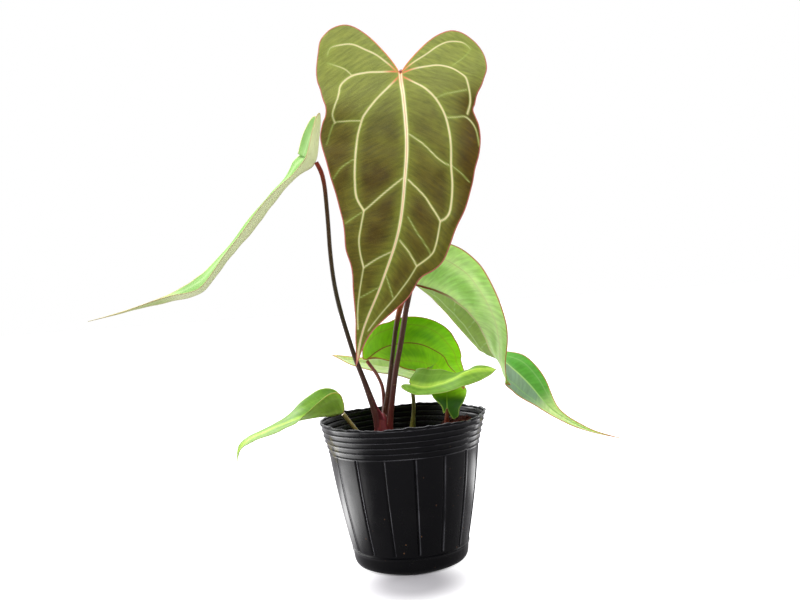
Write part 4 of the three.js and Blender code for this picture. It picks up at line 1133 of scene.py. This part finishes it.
def crumb_tree():
    """Crumbs scattered over a surface, each turned and sized by chance from a fixed seed."""
    tree, given = new_tree("scattered_crumbs", [
        ("Crumbs Per Square Metre", "Float"), ("Smallest", "Float"), ("Largest", "Float"), ("Seed", "Int"),
        ("Material", "Material"),
    ])
    spread = add(tree, "GeometryNodeDistributePointsOnFaces", {
        "Mesh": given.outputs["Geometry"], "Density": given.outputs["Crumbs Per Square Metre"],
        "Seed": given.outputs["Seed"],
    }, distribute_method="RANDOM")
    crumb = add(tree, "GeometryNodeMeshIcoSphere", {"Radius": 1.0, "Subdivisions": 1})
    size = add(tree, "FunctionNodeRandomValue", {
        "Min": given.outputs["Smallest"], "Max": given.outputs["Largest"], "Seed": given.outputs["Seed"],
    }, data_type="FLOAT")
    squash = add(tree, "FunctionNodeRandomValue", {
        "Min": (0.5, 0.5, 0.4), "Max": (1.4, 1.1, 0.9), "Seed": 7,
    }, data_type="FLOAT_VECTOR")
    scale = add(tree, "ShaderNodeVectorMath", {0: squash, "Scale": size.outputs[1]}, operation="SCALE")
    turn = add(tree, "FunctionNodeRandomValue", {
        "Min": (0.0, 0.0, 0.0), "Max": (math.tau, math.tau, math.tau), "Seed": 11,
    }, data_type="FLOAT_VECTOR")
    placed = add(tree, "GeometryNodeInstanceOnPoints", {
        "Points": spread.outputs["Points"], "Instance": crumb.outputs["Mesh"], "Rotation": turn,
        "Scale": scale,
    })
    finish_tree(tree, given, placed)
    return tree


# Petioles and crown


def stem_line(name, path, count):
    """A line of points along a stem, with its radius and its place from base to blade."""
    points = smooth_path(path, count)
    lengths = np.concatenate([[0], np.cumsum(np.linalg.norm(np.diff(points[:, :3], axis=0), axis=1))])
    mesh = bpy.data.meshes.new(name)
    mesh.from_pydata((points[:, :3] * MM).tolist(), [(i, i + 1) for i in range(count)], [])
    piece = bpy.data.objects.new(name, mesh)
    bpy.context.scene.collection.objects.link(piece)
    give(piece, "stem_radius", points[:, 3] * MM)
    give(piece, "along", lengths / lengths[-1])
    give(piece, "edge", np.zeros(count + 1))
    return piece


def build_petiole(name, leaf, tree):
    """A leaf stalk, a little swollen where it joins the blade."""
    slot_name, stops = PETIOLES[name]
    path = [list(p) for p in leaf["stem"]]
    piece = stem_line(f"{name}_petiole", path, 6 * (len(path) - 1))
    run_tree(piece, tree, sides=20, material=petiole_finish(f"{name}_petiole_skin", stops))
    close_seams(piece, 1e-7)
    dress(piece, slot_name, f"petiole_{name}")


CROWN = [
    (-12, -3, 54, 6), (-12, -3, 66, 8), (-12.2, -2.6, 74, 8.2), (-12.3, -2.6, 80, 7), (-12.2, -3.4, 86, 5),
    (-12, -4.2, 91, 3), (-12, -4.6, 94, 1),
]


def build_crown(tree):
    """The short stem base, closed at the top by the sheaths of the large leaves."""
    piece = stem_line("leaf_crown", CROWN, 60)
    skin = petiole_finish("leaf_crown_skin", [(0.0, "#4a1518"), (0.6, "#561a1c"), (1.0, "#6a2426")])
    run_tree(piece, tree, sides=48, material=skin)
    close_seams(piece, 1e-7)
    dress(piece, "maroon_petiole", "crown")


# The sheath on the left petiole, down to the crown: points on its free edge, and where it is held.
SHEATH = [(-19.6, -6, 108.5), (-17.2, -7, 103), (-14.6, -7.4, 98), (-12.2, -7.6, 94), (-10.6, -7.4, 90)]
SHEATH_HELD = [(-19.8, -5, 108.8), (-18.3, -5, 102), (-17, -5, 97), (-16.2, -5, 92), (-15.8, -5, 87)]


def build_sheath():
    """A thin wing on the left petiole's base, with a pink free edge."""
    count = 40
    outer = smooth_path(SHEATH, count)
    inner = smooth_path(SHEATH_HELD, count)
    across = 6
    normal = np.array([0.1, -1, 0.1])
    points, edge = [], []
    for face in (1, -1):
        for k in range(across + 1):
            share = k / across
            thick = 0.5 * (1 - share) + 0.14
            bow = 0.5 * math.sin(math.pi * share)
            points.append(inner * (1 - share) + outer * share + normal * (bow + face * thick / 2))
            edge.append(np.full(count + 1, float(step(share, 0.8, 1.1))))
    row = count + 1
    sheet = (across + 1) * row
    faces = []
    for k in range(across):
        for i in range(count):
            a = k * row + i
            faces.append((a, a + row, a + row + 1, a + 1))
            faces.append((a + 1 + sheet, a + row + 1 + sheet, a + row + sheet, a + sheet))
    ring = [k * row for k in range(across + 1)]
    for a, b in zip(ring, ring[1:]):
        faces.append((a, a + sheet, b + sheet, b))
        faces.append((a + count, b + count, b + count + sheet, a + count + sheet))
    for i in range(count):
        faces.append((i, i + 1, i + 1 + sheet, i + sheet))
        last = across * row + i
        faces.append((last, last + sheet, last + 1 + sheet, last + 1))
    piece = mesh_piece("left_petiole_sheath", np.vstack(points), faces)
    give(piece, "edge", np.concatenate(edge))
    give(piece, "along", np.zeros(len(piece.data.vertices)))
    piece.data.materials.append(petiole_finish("sheath_skin", [(0.0, "#5c2428"), (1.0, "#5c2428")]))
    work = bmesh.new()
    work.from_mesh(piece.data)
    bmesh.ops.recalc_face_normals(work, faces=work.faces)
    work.to_mesh(piece.data)
    work.free()
    dress(piece, "maroon_petiole")


# Pot


def wall_radius(z):
    """Outer radius of the pot's smooth wall at a height above the band."""
    if z > COLLAR_BOTTOM:
        slope = (RIM_RADIUS - COLLAR_RADIUS) / (POT_HEIGHT - COLLAR_BOTTOM)
        return COLLAR_RADIUS + (z - COLLAR_BOTTOM) * slope
    share = (z - BAND_TOP) / (COLLAR_BOTTOM - BAND_TOP)
    return BAND_RADIUS + (COLLAR_RADIUS - BAND_RADIUS) * share + 4 * WALL_BULGE * share * (1 - share)


def rim_shift(angle, height):
    """How far the thin, uneven rim leaves the true circle and its height, less and less further down."""
    grip = step(height, POT_HEIGHT - 13, POT_HEIGHT)
    tip = step(height, POT_HEIGHT - 3, POT_HEIGHT)
    out = 0.45 * np.sin(3 * angle + 1) + 0.25 * np.sin(7 * angle)
    ragged = 0.22 * np.sin(23 * angle + 2) + 0.16 * np.sin(41 * angle) * np.sin(5 * angle)
    bend_at = np.exp(-((angle + 0.28) / 0.09) ** 2) - 0.8 * np.exp(-((angle + 0.5) / 0.1) ** 2)
    up = 0.35 * np.sin(5 * angle + 2) + 0.2 * np.sin(11 * angle)
    nick = 0.2 * np.sin(29 * angle + 1) + 0.14 * np.sin(53 * angle)
    return out * grip + ragged * tip - 1.3 * bend_at * grip, (up + nick - 0.7 * bend_at) * tip


def build_pot():
    """The pleated pot: outside, over the thin rim, down the inside, with drain holes in its floor."""
    pitch = math.tau / PLEATS
    near = np.array([-2.4, -1.6, -1.1, -0.75, -0.45, -0.2, 0, 0.2, 0.45, 0.75, 1.05, 1.4, 1.8, 2.4]) / 42
    between = np.linspace(near[-1], pitch + near[0], 12)[1:-1]
    angles = np.concatenate([k * pitch + np.concatenate([near, between]) for k in range(PLEATS)]) + PLEAT_TURN
    outer = [(0, 0)]
    outer += [(FOOT_RADIUS + out, z) for out, z in (
        (-1, 0), (0, 0.05), (1.2, 0.3), (2.4, 0.9), (3.2, 1.8), (3.8, 3), (4.1, 4.2), (4.35, 6),
    )]
    outer += [(BAND_RADIUS + out, z) for out, z in (
        (-0.45, 8), (-0.35, 9.2), (0.15, 9.7), (0.35, 10.2), (0.3, 10.8), (-0.05, 11.2),
    )]
    heights = np.concatenate([
        np.linspace(BAND_TOP, BAND_TOP + 2, 6), np.linspace(BAND_TOP + 3, COLLAR_BOTTOM - 2, 26),
        np.linspace(COLLAR_BOTTOM - 1.4, COLLAR_BOTTOM, 6)[:-1],
    ])
    ring_pitch = (POT_HEIGHT - COLLAR_BOTTOM - 1.5) / RINGS
    collar = np.linspace(COLLAR_BOTTOM, POT_HEIGHT - 0.25, 62)
    outer += [(wall_radius(z), z) for z in np.concatenate([heights, collar])]
    rows = [(r, z, 1.0) for r, z in outer]
    rows += [(RIM_RADIUS + 0.35, POT_HEIGHT - 0.12, 0.0), (RIM_RADIUS + 0.25, POT_HEIGHT, 0.0)]
    rows += [(RIM_RADIUS - POT_WALL + 0.2, POT_HEIGHT, 0.0), (RIM_RADIUS - POT_WALL, POT_HEIGHT - 0.15, 0.0)]
    inside = np.concatenate([collar[::-1][1:], heights[::-2]])
    rows += [(wall_radius(z) - POT_WALL, z, 1.0) for z in inside]
    rows += [(BAND_RADIUS - POT_WALL - 0.2, BAND_TOP - 1.5, 0.0), (FOOT_RADIUS + 3.3, 4.4, 0.0)]
    rows += [(FOOT_RADIUS + 2, 2.2, 0.0), (FOOT_RADIUS + 1, POT_FLOOR, 0.0), (0, POT_FLOOR, 0.0)]
    points, wall, rim = [], [], []
    for radius, z, moved in rows:
        rim.append(np.full(len(angles), 1.0 if z > POT_HEIGHT - 0.2 else 0.0))
        out, up = rim_shift(np.where(angles > math.pi, angles - math.tau, angles), z)
        r = np.maximum(radius + (out if radius > 1 else 0), 0)
        points.append(np.stack([r * np.cos(angles), r * np.sin(angles), z + up * (radius > 1)], 1))
        wall.append(np.full(len(angles), moved if z > 5 else 0.0))
    n = len(angles)
    i, j = np.meshgrid(np.arange(len(rows) - 1), np.arange(n), indexing="ij")
    a, b = (i * n + j).ravel(), (i * n + (j + 1) % n).ravel()
    piece = mesh_piece("nursery_pot", np.vstack(points), np.stack([a, b, b + n, a + n], 1))
    give(piece, "wall", np.concatenate(wall))
    give(piece, "rim", np.concatenate(rim))
    close_seams(piece)
    run_tree(
        piece, pleated_wall_tree(), pleats=float(PLEATS), pleat_turn=PLEAT_TURN, pleat_depth=PLEAT_DEPTH * MM,
        pleat_width=PLEAT_WIDTH * MM, band_top=BAND_TOP * MM, collar_bottom=COLLAR_BOTTOM * MM,
        ring_pitch=ring_pitch * MM, ring_relief=RING_RELIEF * MM, rings=float(RINGS),
        material=plastic_finish(),
    )
    cut_drains(piece)
    dress(piece, "black_plastic", "pot")


def cut_drains(piece):
    """Cuts the ring of round drain holes through the pot's floor."""
    drills = bmesh.new()
    for k in range(DRAIN_HOLES):
        angle = (k + 0.5) * math.tau / DRAIN_HOLES
        place = (DRAIN_CIRCLE * MM * math.cos(angle), DRAIN_CIRCLE * MM * math.sin(angle), 0)
        bmesh.ops.create_cone(
            drills, cap_ends=True, segments=28, radius1=DRAIN_RADIUS * MM, radius2=DRAIN_RADIUS * MM,
            depth=4 * POT_FLOOR * MM, matrix=Matrix.Translation(place),
        )
    mesh = bpy.data.meshes.new("drills")
    drills.to_mesh(mesh)
    drills.free()
    cutter = bpy.data.objects.new("drills", mesh)
    bpy.context.scene.collection.objects.link(cutter)
    cut = piece.modifiers.new("drains", "BOOLEAN")
    cut.operation = "DIFFERENCE"
    cut.object = cutter
    cut.solver = "EXACT"
    bpy.context.view_layer.update()
    ready = piece.evaluated_get(bpy.context.evaluated_depsgraph_get())
    done = bpy.data.meshes.new_from_object(ready)
    piece.modifiers.clear()
    piece.data = done
    bpy.data.objects.remove(cutter)


# Soil


def soil_height(x, y):
    """Height of the mix: low in the middle and at the left, heaped to the right, and lumpy."""
    heap = SOIL_RISE * ease(np.clip((x - 8) / 36, 0, 1))
    lumps = 0.7 * np.sin(0.31 * x + 1) * np.cos(0.27 * y)
    return SOIL_HEIGHT + heap + lumps + 0.4 * np.sin(0.7 * x + 0.5 * y)


def build_soil():
    """The potting mix, with loose crumbs over it."""
    sides = 160
    angles = np.arange(sides) * math.tau / sides
    room = GAP + PLEAT_DEPTH + 0.3
    direction = np.stack([np.cos(angles), np.sin(angles)], 1)

    def inner(z):
        return np.array([wall_radius(h) for h in np.atleast_1d(z)]) - POT_WALL - room

    base = inner(SOIL_HEIGHT)
    edge = soil_height(*(base * direction.T))
    reach = inner(edge)
    rows = []
    for radius, z in ((0, POT_FLOOR + GAP), (FOOT_RADIUS - 1, POT_FLOOR + GAP), (FOOT_RADIUS + 2, 5.0)):
        rows.append(np.column_stack([direction * radius, np.full(sides, z)]))
    for z in (BAND_TOP + 1, SOIL_HEIGHT - 6):
        rows.append(np.column_stack([direction * inner(z), np.full(sides, z)]))
    shares = np.linspace(1, 0, 60)
    for share in shares:
        xy = direction * (share * reach)[:, None]
        z = soil_height(xy[:, 0], xy[:, 1])
        rough = 0.45 * np.sin(1.9 * xy[:, 0] + 2.3 * np.sin(1.1 * xy[:, 1])) * np.sin(1.7 * xy[:, 1] + 1)
        rows.append(np.column_stack([xy, z + rough * min(1, 8 * (1 - share))]))
    points = np.vstack(rows)
    i, j = np.meshgrid(np.arange(len(rows) - 1), np.arange(sides), indexing="ij")
    a, b = (i * sides + j).ravel(), (i * sides + (j + 1) % sides).ravel()
    quads = np.stack([a, b, b + sides, a + sides], 1)
    mix = potting_finish()
    piece = mesh_piece("potting_mix", points, quads)
    piece.data.materials.append(mix)
    close_seams(piece)
    dress(piece, "potting_mix", "soil")
    top = quads[5 * sides:]
    crumbs = mesh_piece("potting_mix_crumbs", points, top[: -2 * sides])
    run_tree(
        crumbs, crumb_tree(), crumbs_per_square_metre=620000.0, smallest=0.0005, largest=0.0015, seed=4,
        material=mix,
    )
    crumbs.data.shade_flat()
    dress(crumbs, "potting_mix")


# Making

CAMERA_PLACE = (0.0, -545.4, 173.3)
CAMERA_YAW = 0.00734
CAMERA_PITCH = -0.0167
CAMERA_ROLL = -0.07153
FOCAL_PIXELS = 860
IMAGE_WIDTH = 800


def place_camera():
    """The camera where the plant was looked at from: level, a little above the rim, tilted sideways."""
    yaw, pitch, roll = CAMERA_YAW, CAMERA_PITCH, CAMERA_ROLL
    ahead = Vector((math.sin(yaw) * math.cos(pitch), math.cos(yaw) * math.cos(pitch), math.sin(pitch)))
    level = Vector((math.cos(yaw), -math.sin(yaw), 0))
    upright = level.cross(ahead)
    right = level * math.cos(roll) + upright * math.sin(roll)
    up = upright * math.cos(roll) - level * math.sin(roll)
    data = bpy.data.cameras.new("camera")
    data.sensor_fit = "HORIZONTAL"
    data.sensor_width = 36
    data.lens = 36 * FOCAL_PIXELS / IMAGE_WIDTH
    data.clip_start = 0.01
    data.clip_end = 100
    camera = bpy.data.objects.new("camera", data)
    bpy.context.scene.collection.objects.link(camera)
    turned = Matrix((right, up, -ahead)).transposed()
    camera.matrix_world = Matrix.Translation(Vector(CAMERA_PLACE) * MM) @ turned.to_4x4()
    bpy.context.scene.camera = camera


def light_studio():
    """A white room, bright behind the plant and dim on the viewer's side, with four soft lamps."""
    world = bpy.data.worlds.new("white_room")
    world.use_nodes = True
    tree = world.node_tree
    tree.nodes.clear()
    ray = add(tree, "ShaderNodeLightPath")
    place = add(tree, "ShaderNodeTexCoord")
    facing = add(tree, "ShaderNodeVectorMath", {
        0: place.outputs["Generated"], 1: (-0.42, 0.9, 0.12),
    }, operation="DOT_PRODUCT")
    bright = add(tree, "ShaderNodeMapRange", {
        "Value": facing.outputs["Value"], "From Min": -0.45, "From Max": 0.5, "To Min": 0.16, "To Max": 1.3,
    }, interpolation_type="SMOOTHSTEP")
    seen = add(tree, "ShaderNodeMix", {
        "Factor": ray.outputs["Is Camera Ray"], "A": bright, "B": 1.0,
    }, data_type="FLOAT")
    sky = add(tree, "ShaderNodeBackground", {"Color": (1.0, 1.0, 1.0, 1.0), "Strength": seen})
    add(tree, "ShaderNodeOutputWorld", {"Surface": sky})
    bpy.context.scene.world = world
    for name, place, size, watts in (
        ("lamp_behind", (-0.7, 0.75, 0.95), (0.9, 0.9), 16.0),
        ("lamp_above", (0.1, -0.75, 1.15), (0.8, 0.8), 17.0),
        ("lamp_left", (-1.1, 0.1, 0.15), (0.6, 0.9), 5.0),
        ("lamp_right", (1.0, 0.22, 0.2), (0.12, 0.9), 2.4),
    ):
        data = bpy.data.lights.new(name, "AREA")
        data.shape = "ELLIPSE"
        data.size, data.size_y = size
        data.energy = watts
        lamp = bpy.data.objects.new(name, data)
        bpy.context.scene.collection.objects.link(lamp)
        lamp.location = place
        lamp.rotation_euler = (Vector((0, 0, 0.17)) - Vector(place)).to_track_quat("-Z", "Y").to_euler()


def lay_floor():
    """A white floor that glows, with a painted shadow and painted pools of light."""
    reach = 6
    corners = [(-reach, -reach, 0), (reach, -reach, 0), (reach, reach, 0), (-reach, reach, 0)]
    mesh = bpy.data.meshes.new("floor")
    mesh.from_pydata(corners, [], [(0, 1, 2, 3)])
    floor = bpy.data.objects.new("floor", mesh)
    bpy.context.scene.collection.objects.link(floor)
    material, tree = new_material("floor_white_card")
    place = add(tree, "ShaderNodeTexCoord")
    grain = add(tree, "ShaderNodeTexNoise", {"Vector": place.outputs["Object"], "Scale": 500.0})
    bump = add(tree, "ShaderNodeBump", {"Height": grain.outputs[0], "Strength": 0.1, "Distance": 0.0003})
    shader = add(tree, "ShaderNodeBsdfPrincipled", {
        "Base Color": linear("#a8a6aa"), "Roughness": 0.8, "Specular IOR Level": 0.1, "Normal": bump,
    })
    # The light comes from behind, so there is a painted shadow in front of the pot: there the card stops
    # glowing for camera rays, which see it elsewhere as white as the room. For glossy rays it glows instead
    # in two painted pools of light that the pot mirrors, a wide one at the left and a fainter one at the
    # right.
    glows = []
    for spot, near, far, low, high in (
        ((0.0, -0.048, 0), 0.012, 0.048, 0.0, 1.0),
        ((-0.16, 0.02, 0), 0.05, 0.12, 7.0, 0.0),
        ((0.15, 0.12, 0), 0.03, 0.08, 3.0, 0.0),
    ):
        away = add(tree, "ShaderNodeVectorMath", {0: place.outputs["Object"], 1: spot}, operation="DISTANCE")
        glows.append(add(tree, "ShaderNodeMapRange", {
            "Value": away.outputs["Value"], "From Min": near, "From Max": far, "To Min": low, "To Max": high,
        }, interpolation_type="SMOOTHSTEP"))
    painted_pools = add(tree, "ShaderNodeMath", {0: glows[1], 1: glows[2]}, operation="ADD")
    ray = add(tree, "ShaderNodeLightPath")
    painted_pools = add(tree, "ShaderNodeMath", {0: painted_pools, 1: ray.outputs["Is Glossy Ray"]}, operation="MULTIPLY")
    glow = add(tree, "ShaderNodeMix", {
        "Factor": ray.outputs["Is Camera Ray"], "A": painted_pools, "B": glows[0],
    }, data_type="FLOAT")
    white = add(tree, "ShaderNodeEmission", {"Color": linear("#ffffff"), "Strength": glow})
    both = add(tree, "ShaderNodeAddShader", {0: shader, 1: white})
    add(tree, "ShaderNodeOutputMaterial", {"Surface": both})
    mesh.materials.append(material)


bpy.context.scene.view_settings.view_transform = "Standard"
place_camera()
light_studio()
lay_floor()
round_stem = stem_tree()
for name, leaf in LEAVES.items():
    build_blade(name, leaf)
    build_petiole(name, leaf, round_stem)
build_crown(round_stem)
build_sheath()
build_soil()
build_pot()
